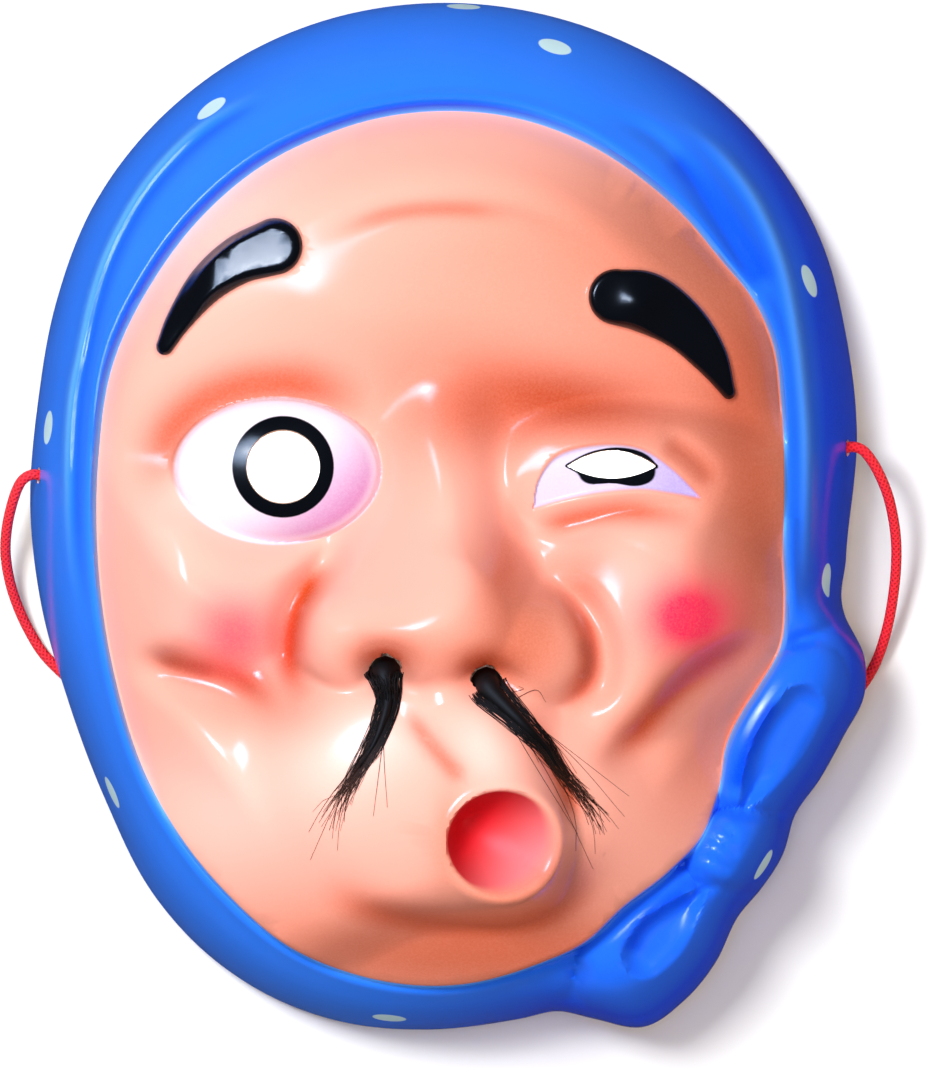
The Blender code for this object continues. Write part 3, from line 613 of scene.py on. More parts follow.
LEFT_FOLD = [(-40, 96.5), (-47, 93), (-55.8, 87.6), (-63.8, 80.0), (-70.6, 70.8), (-76.4, 59.4),
             (-79.8, 49.0), (-82.1, 38), (-84.4, 26), (-85.2, 10), (-84.6, -8), (-82, -26)]
LEFT_GROOVE = [(-38, 94.5), (-46, 90.5), (-54, 85.4), (-61.8, 78.0), (-68.4, 69.4), (-74, 58.6),
               (-77.4, 48.4), (-79.7, 37.6), (-81.8, 26), (-82.7, 10), (-82.2, -8), (-79.6, -25)]


def scarf_folds(x, y, inside, angle, by_knot):
    right_trough = [(30, 91), (43.4, 86.8), (51.5, 80.5), (58, 71), (64.5, 60), (69, 51.5), (73, 43)]
    at_top = smooth(50, 80, angle)
    hem = np.exp(-((inside + 2.1 + 1.3 * at_top * smooth(172, 150, angle)) / 1.35) ** 2)
    z = (0.55 + 0.55 * at_top) * hem * (1 - by_knot)
    z = z + ridge(x, y, right_trough, 2.5, -2.4, 0.22)
    z = z + ridge(x, y, RIGHT_FOLD, 2.0, 2.6, 0.2)
    z = z + ridge(x, y, LEFT_FOLD, 1.4, 1.6, 0.25)
    return z + ridge(x, y, LEFT_GROOVE, 1.6, -1.5, 0.25)


def knot(x, y, z, share):
    def puff(d, height):
        return height * np.sqrt(np.clip(1.0 - d ** 2, 0.0, 1.0))

    rise = smooth(0.0, 0.5, share)
    upper = puff(oval(x, y, (75.5, -48.5), (22, 13), 60), 7.5)
    under = puff(oval(x, y, (47.0, -96.0), (21, 14), 42), 8.0)
    wrap = puff(oval(x, y, (65.0, -76.0), (12.5, 10.5), 50), 9.4)
    z = z + higher(higher(upper, under, 0.8), wrap, 0.6) * rise
    for route, centre, facing in ((UPPER_DIMPLE, (73, -53), (0.86, -0.50)),
                                  (LOWER_DIMPLE, (49, -91), (0.74, -0.67))):
        within = np.clip((0.7 - stroke(x, y, route)) / 5.4, 0.0, 1.0)
        toward = (x - centre[0]) * facing[0] + (y - centre[1]) * facing[1]
        lower_right = np.clip(toward / 5.0, -1.0, 1.0)
        z = z - DIMPLE_DEPTH * (1.0 - (1.0 - within) ** 2.2) * (1.0 - 0.25 * lower_right) * rise
    for start, end in WRAP_CREASES:
        middle = ((start[0] + end[0]) / 2, (start[1] + end[1]) / 2 + 0.6)
        z = z + ridge(x, y, [start, middle, end], 0.8, -0.7)
    for route, width, height in KNOT_NOTCHES:
        z = z + ridge(x, y, route, width, height, 0.3)
    return z


# %% [markdown]
# Now the parts are stacked. The flesh may not rise faster than 1.1 mm in a millimetre from
# the scarf's edge, so the hem stays proud of it all round.

# %% The whole mould
def flesh(x, y, edge, inside):
    """The face inside the scarf. The dome follows an evened edge, the hem the true one."""
    r = np.hypot(x, y)
    z = cheeks(x, y, forehead(x, y, dome(edge, r)))
    room = inside + (edge - r - inside) * smooth(1.0, 9.0, inside)
    z = lower(z, EDGE_Z + EDGE_SLOPE * np.maximum(room, -3.0), 3.0)
    z = muzzle(x, y, z)
    z = higher(z, ball(x, y, (38, 8.5), (27, 16), 66.0, 9.0, -4), 3.5)
    z = creases(x, y, pipe_mouth(x, y, nose(x, y, z)))
    return brows(x, y, winking_eye(x, y, round_eye(x, y, z)))


def knot_share(angle):
    """1 in the directions where the scarf is tied, 0 elsewhere."""
    return smooth(277, 291, angle) * smooth(350, 341, angle)


def plan(x, y):
    """Rim radius, face edge radius, radius and angle at a place."""
    angle = np.mod(np.degrees(np.arctan2(y, x)), 360)
    return closed_curve(RIM, angle), closed_curve(FACE_EDGE, angle), np.hypot(x, y), angle


def heights(x, y):
    """Height of the sheet's outer face above the table."""
    rim, edge, r, angle = plan(x, y)
    even_edge = sum(closed_curve(FACE_EDGE, angle + off) for off in (-6, -3, 0, 3, 6)) / 5
    by_knot = knot_share(angle)
    power = WALL_POWER + (KNOT_WALL_POWER - WALL_POWER) * by_knot
    up = np.clip((rim - r) / (rim - edge), 0.0, 1.0)
    scarf = (EDGE_Z + HEM_STEP) * (1.0 - (1.0 - up) ** power) ** (1.0 / power)
    inside = edge - r
    scarf = scarf + scarf_folds(x, y, inside, angle, by_knot)
    scarf = knot(x, y, scarf, up) - WASTE_SLOPE * np.maximum(r - rim, 0.0)
    at_top = smooth(48, 80, angle) * smooth(190, 150, angle)
    step = smooth(-0.9 - HEM_GROOVE * at_top, 0.3, inside)
    return scarf * (1 - step) + flesh(x, y, even_edge, inside) * step


nose_tip = heights(np.array([-3.0]), np.array([-22.0]))[0]
print("nose tip stands", round(float(nose_tip), 1), "mm over the table")

# %% [markdown]
# ## The sheet
#
# The sheet starts as a plain grid, as the plastic starts flat. The grid is rolled into a disc:
# its columns become spokes and its rows become rings. One ring lies exactly on the scarf's
# edge, so the hem comes out clean, and the last one lies on the trimmed rim. The rim is flat
# but for the temples, where the maker cuts it up by 6 mm and the cord passes under.

# %% Rim: where the sheet is trimmed
ARCH_RISE = 6.0
ARCH_HALF = 52.0
ARCH_Y = -14.0
ARCH_R = (ARCH_HALF ** 2 + ARCH_RISE ** 2) / (2 * ARCH_RISE)


def trim_height(y):
    """Height of the trimmed rim: an arc over the cord at the temples, the table elsewhere."""
    across = np.clip(y - ARCH_Y, -ARCH_HALF, ARCH_HALF)
    return np.maximum(ARCH_RISE - ARCH_R + np.sqrt(ARCH_R ** 2 - across ** 2), 0.0)


def trim_radius(turn):
    """How far out the sheet reaches in each direction, found by halving."""
    low = closed_curve(FACE_EDGE, turn)
    high = closed_curve(RIM, turn) + 0.5
    c = np.cos(np.radians(turn))
    s = np.sin(np.radians(turn))
    for _ in range(18):
        middle = (low + high) / 2
        above = heights(middle * c, middle * s) > trim_height(middle * s)
        low = np.where(above, middle, low)
        high = np.where(above, high, middle)
    return low


print("trim at the left temple:", round(float(trim_radius(np.array([188.0]))[0]), 1), "mm out")

# %% Sheet: a grid drawn over the mould
SPOKES = 600
FACE_RINGS = 190
SCARF_RINGS = 60
CROWDING = 1.5


def deselect():
    if bpy.context.object and bpy.context.object.mode != "OBJECT":
        bpy.ops.object.mode_set(mode="OBJECT")
    bpy.ops.object.select_all(action="DESELECT")


def apply_all(piece):
    """Apply every modifier of a piece in turn."""
    deselect()
    bpy.context.view_layer.objects.active = piece
    piece.select_set(True)
    for modifier in list(piece.modifiers):
        bpy.ops.object.modifier_apply(modifier=modifier.name)


def places(mesh):
    """A mesh's corners in mm, one row each."""
    flat = np.empty(len(mesh.vertices) * 3)
    mesh.vertices.foreach_get("co", flat)
    return flat.reshape(-1, 3) / MM


deselect()
rings = FACE_RINGS + SCARF_RINGS
bpy.ops.mesh.primitive_grid_add(x_subdivisions=SPOKES, y_subdivisions=rings, size=2.0)
shell = bpy.context.object
shell.name = "mask_sheet"
flat = places(shell.data) * MM
turn = flat[:, 0] * 180.0
row = (flat[:, 1] + 1.0) / 2.0 * rings
spoke_turns = np.linspace(-180.0, 180.0, SPOKES + 1)
edge_here = closed_curve(FACE_EDGE, turn)
rim_here = np.interp(turn, spoke_turns, trim_radius(spoke_turns))
outward = np.clip((row - FACE_RINGS) / SCARF_RINGS, 0.0, 1.0)
radius = edge_here * np.minimum(row / FACE_RINGS, 1.0)
radius = radius + (rim_here - edge_here) * (1.0 - (1.0 - outward) ** CROWDING)
sheet_x = radius * np.cos(np.radians(turn))
sheet_y = radius * np.sin(np.radians(turn))
formed = np.stack([sheet_x, sheet_y, heights(sheet_x, sheet_y)], axis=1) * MM
shell.data.vertices.foreach_set("co", formed.ravel())
bpy.ops.object.mode_set(mode="EDIT")
bpy.ops.mesh.select_all(action="SELECT")
bpy.ops.mesh.remove_doubles(threshold=0.000001)
bpy.ops.object.mode_set(mode="OBJECT")
if sum(p.normal.z for p in shell.data.polygons) < 0:
    shell.data.flip_normals()
print("sheet:", len(shell.data.vertices), "corners,", len(shell.data.polygons), "faces")

# %% [markdown]
# ## Punching
#
# Punches take out the eyes, the nostrils and the two cord holes. A Boolean would do it, but it
# is slow on a mesh this fine. A punch can work as it does on plastic: the faces inside its
# line fall out, and the loose corners left round the hole are pulled onto the line.

# %% Punches
EYEHOLE_R = 8.2
NOSTRIL_R = 3.6
RIGHT_SLIT = (36.8, 11.1)
SLIT_HALF = 10.0
SLIT_UP = 3.5
SLIT_DOWN = 2.8
UPRIGHT = (0.0, 0.0, 1.0)
PUNCHES = [((*LEFT_PUPIL, 66.0), UPRIGHT, EYEHOLE_R), ((*RIGHT_SLIT, 64.0), UPRIGHT, SLIT_HALF),
           ((*LEFT_NOSTRIL, 72.0), UPRIGHT, NOSTRIL_R), ((*RIGHT_NOSTRIL, 70.0), UPRIGHT, NOSTRIL_R),
           (LEFT_HOLE, LEFT_OUT, CORD_HOLE_R), (RIGHT_HOLE, RIGHT_OUT, CORD_HOLE_R)]


def to_line(spots, centre, axis, radius):
    """Where spots in mm land on a punch's line, and which of them lie inside it."""
    if radius == SLIT_HALF:
        t = np.clip((spots[:, 0] - centre[0]) / SLIT_HALF, -1.0, 1.0)
        arc = np.where(spots[:, 1] > centre[1], SLIT_UP, -SLIT_DOWN) * (1.0 - t ** 2)
        inside = (np.abs(t) < 1.0) & (np.abs(spots[:, 1] - centre[1]) < np.abs(arc))
        landed = np.stack([centre[0] + t * SLIT_HALF, centre[1] + arc, spots[:, 2]], axis=1)
        return landed, inside
    offset = spots - np.array(centre)
    depth = offset @ np.array(axis)
    across = offset - depth[:, None] * np.array(axis)
    away = np.linalg.norm(across, axis=1)
    landed = spots + across * (radius / np.maximum(away, 0.001) - 1.0)[:, None]
    return landed, (away < radius) & (np.abs(depth) < 6.0)


def drop_faces():
    """Delete the faces inside each punch's line."""
    mesh = bmesh.new()
    mesh.from_mesh(shell.data)
    middles = np.array([f.calc_center_median() for f in mesh.faces]) / MM
    fallen = np.zeros(len(middles), bool)
    for punch in PUNCHES:
        fallen |= to_line(middles, *punch)[1]
    chosen = [f for f, out in zip(mesh.faces, fallen) if out]
    bmesh.ops.delete(mesh, geom=chosen, context="FACES")
    mesh.to_mesh(shell.data)
    mesh.free()
    return len(chosen)


def pull_to_lines():
    """Pull the corners round each hole onto its line, and those of the rim onto the trim."""
    mesh = bmesh.new()
    mesh.from_mesh(shell.data)
    loose = [v for v in mesh.verts if v.is_boundary]
    spots = np.array([v.co for v in loose]) / MM
    holed = np.zeros(len(loose), bool)
    for centre, axis, radius in PUNCHES:
        near = np.linalg.norm(spots - np.array(centre), axis=1) < radius + 3.0
        landed = to_line(spots[near], centre, axis, radius)[0]
        if axis == UPRIGHT:
            landed[:, 2] = heights(landed[:, 0], landed[:, 1])
        spots[near] = landed
        holed |= near
    spots[~holed, 2] = trim_height(spots[~holed, 1])
    for corner, spot in zip(loose, spots):
        corner.co = Vector(spot * MM)
    mesh.to_mesh(shell.data)
    mesh.free()
    return len(loose)


print("faces punched out:", drop_faces(), "corners pulled to a line:", pull_to_lines())

# %% [markdown]
# ## Thickness
#
# The grid is far finer than it needs to be on the plain parts, so a Decimate modifier drops
# points there and leaves them at the creases. Solidify then gives the sheet its 0.9 mm,
# inwards, so that the outer face stays where the mould put it.

# %% Sheet: fewer points, then its thickness
KEPT = 94000
SHEET = 0.9
ON_TABLE = 0.1

before = sum(len(p.vertices) - 2 for p in shell.data.polygons)
fewer = shell.modifiers.new("drop points on plain parts", "DECIMATE")
fewer.ratio = KEPT / before
fewer.use_collapse_triangulate = True
apply_all(shell)
pull_to_lines()
front_corners = len(shell.data.vertices)
front_faces = len(shell.data.polygons)
thickness = shell.modifiers.new("sheet thickness", "SOLIDIFY")
thickness.thickness = SHEET * MM
thickness.offset = -1.0
apply_all(shell)
for outer in shell.data.vertices[:front_corners]:
    inner = shell.data.vertices[outer.index + front_corners]
    if outer.co.z < ON_TABLE * MM or inner.co.z < 0:
        inner.co.z = outer.co.z
corners = places(shell.data)
print("shell in mm:", corners.min(axis=0).round(1), corners.max(axis=0).round(1),
      "triangles:", sum(len(p.vertices) - 2 for p in shell.data.polygons))

# %% [markdown]
# ## Masks for the paint
#
# A sprayed mask has two sorts of edge: hard ones where a stencil sat on the form, and soft
# ones where the airbrush was free. For the hard ones each corner of the sheet gets a distance
# in millimetres to the line, and the shader cuts it at zero. For the soft ones it gets an
# amount from 0 to 1. They are worked out from the same routes and places that shaped the
# mould, so paint and form can't drift apart.

# %% Masks: tools
x, y, up = corners[:, 0], corners[:, 1], corners[:, 2]
rim, edge, r, angle = plan(x, y)


def keep(name, values):
    """Store one number a corner on the sheet."""
    layer = shell.data.attributes.new(name, "FLOAT", "POINT")
    layer.data.foreach_set("value", np.asarray(values, np.float32))


def spray(strokes, share=0.3):
    """Airbrush strokes, each a route, a width in mm and a strength."""
    amount = np.zeros(len(x))
    for route, width, strength in strokes:
        distance, _, where, _ = along(x, y, route, 3 * width)
        amount = np.maximum(amount, strength * np.exp(-(distance / width) ** 2) * ends(where, share))
    return amount


def mist(clouds):
    """Soft airbrushed ovals, each a centre, two half widths, a turn and a strength."""
    clear = np.ones(len(x))
    for centre, half, turn, strength in clouds:
        clear = clear * (1.0 - strength * np.exp(-oval(x, y, centre, half, turn) ** 2))
    return 1.0 - clear


print("corners to paint:", len(x))

# %% [markdown]
# The stencils first: the scarf, the brows, the whites of the eyes, the black iris ring and the
# black behind the wink. The red of the mouth has a crisp edge at the upper left and fades at
# the lower right, so it keeps a second number, which is how soft its edge is. The scarf's dots
# are only places here, because the shader can measure how far it is from each.

# %% Masks: stencils
IRIS_R = 11.3
WINK_IRIS = (37.9, 10.8)
WINK_IRIS_HALF = (8.6, 4.4)
DOT_R = 3.8
DOTS = [(-53.0, 92.0), (24.6, 106.0), (82.0, 53.0), (-90.0, 20.0), (-75.5, -62.5), (-12.8, -113.4),
        (85.8, -14.5), (71.5, -78.5), (4.0, 116.2), (-93.6, -34.0), (94.3, 24.0), (-66.5, 95.5)]

slit_t = np.clip((x - RIGHT_SLIT[0]) / SLIT_HALF, -1.0, 1.0)
slit_line = np.where(y > RIGHT_SLIT[1], SLIT_UP, SLIT_DOWN) * (1.0 - slit_t ** 2)
off_slit = np.hypot(np.maximum(np.abs(x - RIGHT_SLIT[0]) - SLIT_HALF, 0),
                    np.maximum(np.abs(y - RIGHT_SLIT[1]) - slit_line, 0))

keep("off_scarf", edge - r)
keep("off_brow", np.minimum(stroke(x, y, LEFT_BROW), stroke(x, y, RIGHT_BROW)))
left_white = (oval(x, y, LEFT_EYE, LEFT_EYE_HALF) - 0.985) * 18.0
keep("off_white", np.minimum(left_white, -between_lids(x, y)))

left_iris = np.hypot(x - LEFT_PUPIL[0], y - LEFT_PUPIL[1]) - IRIS_R
across = np.abs(x - WINK_IRIS[0]) / WINK_IRIS_HALF[0]
over_it = np.abs(y - WINK_IRIS[1]) / WINK_IRIS_HALF[1]
squareness = np.where(y > WINK_IRIS[1], 2.0, 3.2)
iris_contour = (across ** squareness + over_it ** squareness) ** (1 / squareness)
right_iris = (iris_contour - 1.0) * WINK_IRIS_HALF[1]
kidney = mound(x, y, (36.5, 5.6), (3.2, 2.0), 1.6)
# Black runs 0.42 mm round the wink's slit as a painted shadow of the cut edge.
keep("off_iris", np.minimum(np.minimum(left_iris, right_iris + kidney), off_slit - 0.42))

toward = ((x - BOWL[0]) * 0.8 - (y - BOWL[1]) * 0.6) / BOWL_HALF[0]
keep("off_red", (bowl_contour(x, y) - 0.97 + 0.08 * np.clip(toward, 0.0, 1.0)) * BOWL_HALF[0])
keep("red_softness", 0.45 + 1.9 * smooth(-0.2, 1.0, toward))
# Painted light in the mouth: the red turns pink towards the lower right, the bowl's lit side.
keep("red_light", smooth(-0.6, 1.2, toward))

dot_x = np.array([dot[0] for dot in DOTS])
dot_y = np.array([dot[1] for dot in DOTS])
dot_places = np.stack([dot_x, dot_y, heights(dot_x, dot_y)], axis=1) * MM
print("dots on the scarf:", len(DOTS))

# %% Masks: bare rim
# Under the knot the paint stops short of the trimmed rim, and the raw sheet shows as a line.
under_knot = smooth(281, 290, angle) * smooth(312, 306, angle)
keep("off_bare_rim", up - 1.6 * under_knot)

# %% [markdown]
# The airbrush next, and with it painted light and painted shade. Salmon is misted over the
# shaded side and the chin, partly the sprayer's own deeper tone and partly painted shade, and a
# paler flesh over the high places on the lit side is a painted highlight. Deep orange goes into
# the creases as the airbrush puts it, laid on stronger as painted shade there, between the eyes
# and over the winking eye. Brown is painted shade along the deepest of them and down the shaded
# edge, violet a faint painted shade beside the mouth, and pink goes on the cheeks. The whites of
# the eyes are tinted lilac and pink. Navy is painted shade in the scarf's grooves, on its wall on
# the shaded side and a little over the knot, and azure is a pale halo along the hem's edge and a
# painted highlight on the crowns of its folds.

# %% Masks: airbrush
eye_arch = [(LEFT_EYE[0] + 26.5 * math.cos(math.radians(turn)),
             LEFT_EYE[1] + 19.5 * math.sin(math.radians(turn)))
            for turn in range(205, 29, -25)]

# Salmon: partly the sprayer's own deeper tone, partly painted shade on the shaded right side, the chin, under
# the nose and on the left lip.
keep("salmon", mist([((6, 34), (42, 26), 0, 0.45), ((30, 62), (40, 20), 0, 0.50),
                     ((56, 46), (24, 36), 0, 0.75), ((70, 5), (14, 52), 0, 0.90),
                     ((58, -50), (26, 32), 0, 0.52), ((2, -98), (66, 17), 0, 0.90),
                     ((-4, -31), (24, 8), 0, 0.45), ((18, -27), (13, 15), 0, 0.85),
                     ((-42, -42), (20, 8), 0, 0.35), ((-70, -10), (9, 40), 0, 0.20),
                     ((16, -76), (14, 13), 0, 0.85), ((0.5, -70), (3.5, 10), 0, 0.55)]))
# Pale: a painted highlight, paler flesh on the high places of the lit side.
keep("pale", mist([((-52, 66), (22, 14), 40, 0.40), ((8, -51), (5, 9), 25, 0.55),
                   ((-19, -51), (15, 9), 30, 0.60), ((40, -16), (9, 7), 0, 0.30),
                   ((-48, -64), (14, 14), 0, 0.30), ((-64, 2), (9, 16), 0, 0.25)]))
# Deep orange: the crease airbrush, laid on stronger as painted shade in the creases, the nostril hollows,
# round the eye socket, between the eyes, over the winking eye and under the chin.
keep("deep", np.maximum(
    mist([((6, 22), (15, 10), 0, 0.58), ((26, 25.5), (23, 8), -8, 0.85), ((12, -11), (6, 13), 0, 0.62),
          ((14, -96), (46, 8), 0, 0.40), ((-13.5, -31.0), (7.0, 4.5), 0, 0.85),
          ((8.5, -33.0), (7.0, 4.5), 0, 0.85), ((31, -15), (7, 8), 0, 0.45), ((66, 30), (8, 22), 0, 0.40),
          ((66, -12), (9, 22), 0, 0.22), ((58, -54), (8, 16), -30, 0.25)]),
    spray([(eye_arch, 5.5, 0.80),
           ([(-24, -10), (-30, -15), (-34.0, -24), (-34.5, -33), (-31, -42)], 3.0, 1.0),
           ([(23, -17), (30, -24), (31.5, -32), (29.5, -38), (25, -43)], 3.0, 0.80),
           ([(17, -1.5), (24, -1.8), (30, -0.4), (38, 1.0), (46, 1.0), (58, 0.2)], 2.4, 0.75),
           ([(72, -25), (60, -31), (50, -39), (42, -48), (31, -58)], 3.8, 0.90),
           ([(-70, -29), (-58, -33), (-46, -36), (-36, -43)], 3.6, 0.80),
           ([(-30, -80), (-22, -85), (-10, -89), (4, -91), (18, -90), (28, -84), (33, -74)], 4.2, 0.70),
           ([(46, 18), (54, 12.5), (61, 5)], 3.4, 0.50),
           ([(-10, -41), (-5, -48), (1, -55), (5, -58.5)], 2.2, 0.60),
           ([(15, -42), (20.5, -50), (26.5, -60), (30, -70)], 2.8, 0.85),
           ([(-26, 62.5), (-12, 67.0), (2, 68.0), (16, 66.6)], 2.0, 0.45)])))
# Brown is painted shade: in the deepest creases, on the shaded right side of the face and down its edge.
keep("brown", np.maximum(
    mist([((66, 22), (10, 26), 0, 0.34), ((56, 66), (22, 16), -40, 0.34), ((28, 25), (22, 7), -8, 0.26),
          ((72, -8), (7, 20), 0, 0.34), ((18, -24), (9, 14), 0, 0.20), ((28, -79), (8, 6), 40, 0.30),
          ((-36, -40), (10, 7), 0, 0.20)]),
    spray([([(46, 18), (54, 12.5), (61, 5)], 3.0, 0.25),
           ([(-66, -31), (-58, -33.5), (-50, -36)], 2.0, 0.45),
           ([(29, -25), (31.5, -32), (29.5, -38)], 1.8, 0.45),
           ([(58, 70), (68, 58), (74, 42), (76, 20), (76, -16)], 3.0, 0.40)])))
# Violet is a faint painted shade at the lower right of the mouth.
keep("violet", mist([((29, -80), (6, 4), 40, 0.15)]))
keep("blush", np.minimum(mist([((-46.8, -26.4), (9.5, 9.0), 0, 0.75)])
                         + 1.25 * mist([((54.0, -22.4), (9.8, 8.2), 0, 1.0)]), 0.95))
print("masks on the sheet so far:", sum(a.data_type == "FLOAT" for a in shell.data.attributes))

# %% Masks: the tints of the eye whites, and the scarf's painted shade and highlights
left_tint = smooth(-0.1, 0.95, (x - LEFT_EYE[0]) / 23.5 * 0.75 - (y - LEFT_EYE[1]) / 16.6 * 0.55)
left_rim = smooth(0.84, 0.95, oval(x, y, LEFT_EYE, LEFT_EYE_HALF))
keep("eye_pink", np.where(x < 0, left_tint * (1.0 - 0.7 * left_rim), 0.0))
keep("eye_lilac", np.where(x < 0, 0.22, 0.50 + 0.30 * smooth(34, 54, x)))

inside = edge - r
knotted = knot_share(angle)
# Painted shade on the scarf: darker in its grooves and folds, on the wall towards the shaded lower right, and
# a little over the knot.
shaded = smooth(-0.05, 0.85, (x - y * 0.25) / 100.0) * (1.0 - 0.6 * knotted * smooth(rim, rim - 8.0, r))
wall = smooth(rim - 0.5, rim - 12.0, r)
groove_share = smooth(70, 90, angle) * smooth(168, 145, angle)
in_groove = 0.75 * np.exp(-((inside + 1.5) / 1.4) ** 2) * groove_share
in_folds = spray([([(74, -40.5), (70, -47), (66.2, -55), (64.8, -62)], 2.2, 0.55),
                  ([(55, -83.5), (48, -87), (42.5, -93), (41, -98)], 2.2, 0.45),
                  (LEFT_GROOVE, 1.1, 0.50),
                  ([(49, 82), (58, 73), (67, 59.5), (72, 51)], 3.0, 0.50),
                  ([(84.5, 58), (86, 40), (87, 20), (87, 0), (85, -18)], 3.5, 0.40)], 0.15)
on_wall = (1.42 - wall) * shaded
keep("navy", np.clip(in_groove + on_wall + 0.22 * knotted + in_folds, 0.0, 0.95))
# Azure: a pale halo along the hem's edge, and a painted highlight on the crowns of the folds.
keep("azure", np.maximum(np.clip(0.7 * np.exp(-((inside + 0.1) / 0.6) ** 2), 0.0, 1.0),
                         spray([(RIGHT_FOLD, 1.3, 0.35), (LEFT_FOLD, 0.8, 0.55)])))

# %% [markdown]
# ## Lights, floor and backdrop
#
# A product photograph, lit from the upper left. The gloss mirrors a cool softbox with a bare
# lamp in it, and those two light nothing else. A small key beside them and a broad overhead
# fill do the lighting and aren't mirrored, so highlights and shading can each be set. A faint
# warm light comes back from the lower right. Under each eyehole a small downward light
# brightens the white table, because in the photograph the holes show clean white.

# %% Light and table
def area_light(name, place, aim, size, power, tint="#FFFFFF", in_gloss=True, in_diffuse=True):
    """A rectangular soft light at a place in metres, pointed at another."""
    lamp = bpy.data.lights.new(name, "AREA")
    lamp.shape = "RECTANGLE"
    lamp.size, lamp.size_y = size
    lamp.energy = power
    lamp.color = to_linear(tint)[:3]
    holder = bpy.data.objects.new(name, lamp)
    bpy.context.scene.collection.objects.link(holder)
    holder.location = place
    holder.rotation_euler = (Vector(place) - Vector(aim)).to_track_quat("Z", "Y").to_euler()
    holder.visible_glossy = in_gloss
    holder.visible_diffuse = in_diffuse
    return holder


area_light("softbox", (-0.54, 0.40, 1.08), (0, 0, 0.05), (0.50, 0.40), 17.5, "#BFD8FF", in_diffuse=False)
area_light("bare lamp in the softbox", (-0.50, 0.38, 1.04), (0, 0, 0.05), (0.10, 0.14), 3.4, in_diffuse=False)
area_light("key", (-0.36, 0.27, 1.16), (0, 0, 0.05), (0.26, 0.26), 14.4, in_gloss=False)
area_light("overhead fill", (0.0, 0.0, 1.8), (0, 0, 0), (0.8, 0.8), 13.0, "#FFF6F0", in_gloss=False)
area_light("warm fill", (0.52, -0.40, 0.60), (0.02, 0, 0.05), (0.5, 0.5), 1.1, "#FFDCC4", in_gloss=False)
for name, (hole_x, hole_y) in (("left eyehole light", LEFT_PUPIL), ("right eyehole light", RIGHT_SLIT)):
    below = area_light(name, (hole_x * MM, hole_y * MM, 0.034), (hole_x * MM, hole_y * MM, 0.0),
                       (0.03, 0.022), 0.02, in_gloss=False)
    below.data.spread = math.radians(100)

world = bpy.data.worlds.new("pale surround")
world.use_nodes = True
bpy.context.scene.world = world
surround = world.node_tree.nodes["Background"]
surround.inputs["Color"].default_value = to_linear("#FFF3EA")
mirrored = node(world, "ShaderNodeLightPath", {}, {}, "Is Glossy Ray")
dimmed = node(world, "ShaderNodeMapRange", {}, {"Value": mirrored, "To Min": 0.13, "To Max": 0.05})
link(world, dimmed, surround.inputs["Strength"])

deselect()
bpy.ops.mesh.primitive_plane_add(size=4.0, location=(0, 0, 0))
table = bpy.context.object
table.name = "table"
table.visible_glossy = False
table_paint, table_shader = new_material("matt white table")
table_shader.inputs["Base Color"].default_value = to_linear("#EBEEEF")
table_shader.inputs["Roughness"].default_value = 0.9
table_shader.inputs["Specular IOR Level"].default_value = 0.1
table.data.materials.append(table_paint)

bpy.context.scene.view_settings.view_transform = "Standard"

# %% [markdown]
# ## Sprayed plastic
#
# The sheet is PVC in its own pale flesh colour, sprayed with thin glossy lacquers. Each layer
# goes over the last, in the order of the sprayer's bench: mists of pale flesh, salmon, orange
# and brown, which also carry painted highlight and painted shade, the cheeks, the red, the
# whites, the blacks, and the scarf last with its dots. Two helpers stand for the two tools, the
# airbrush and the stencil.

# %% Paint: the airbrush and the stencil
front, front_shader = new_material("PVC sheet, sprayed lacquer")
here = node(front, "ShaderNodeTexCoord", {}, {}, "Object")

# Airbrush spatter about 0.5 mm across, coarser than the real mist so that it shows.
SPATTER = 0.526
spatter = node(front, "ShaderNodeTexNoise", {}, {"Vector": here, "Scale": 1 / (SPATTER * MM), "Detail": 2.0})
speckle = node(front, "ShaderNodeMapRange", {}, {"Value": spatter, "From Min": 0.3, "From Max": 0.7,
                                                 "To Min": 0.93, "To Max": 1.07})


def airbrush(below, colour, mask):
    """Mist a colour over what is below, as much as a stored amount says."""
    amount = node(front, "ShaderNodeAttribute", {"attribute_name": mask}, {}, "Fac")
    amount = node(front, "ShaderNodeMath", {"operation": "MULTIPLY", "use_clamp": True},
                  {0: amount, 1: speckle})
    return node(front, "ShaderNodeMix", {"data_type": "RGBA"}, {0: amount, 6: below, 7: colour}, 2)


def stencil(below, colour, line, soft):
    """Spray a colour inside a stencil's line, kept as mm outside it."""
    distance = node(front, "ShaderNodeAttribute", {"attribute_name": line}, {}, "Fac")
    amount = node(front, "ShaderNodeMapRange", {"interpolation_type": "SMOOTHSTEP"},
                  {"Value": distance, "From Min": soft, "From Max": -soft, "To Min": 0.0, "To Max": 1.0})
    return node(front, "ShaderNodeMix", {"data_type": "RGBA"}, {0: amount, 6: below, 7: colour}, 2)


print("spatter repeats every", SPATTER, "mm")

# %% [markdown]
# The colours are the lacquers', set a little paler than they look, because the light on the
# shaded side and the bounce inside the creases deepen them. The pale mist is a painted highlight,
# salmon, orange and brown are the sprayer's tones laid on as painted shade too, and violet is
# painted shade.

# %% Paint: face
FLESH = to_linear("#F9B4A6")
PALE_HIGHLIGHT = to_linear("#FFE3DC")
SALMON_AND_SHADE = to_linear("#D6775A")
DEEP_ORANGE_AND_SHADE = to_linear("#C84A1E")
BROWN_SHADE = to_linear("#8A3A28")
VIOLET_SHADE = to_linear("#8E4E86")
BLUSH = to_linear("#F5325A")

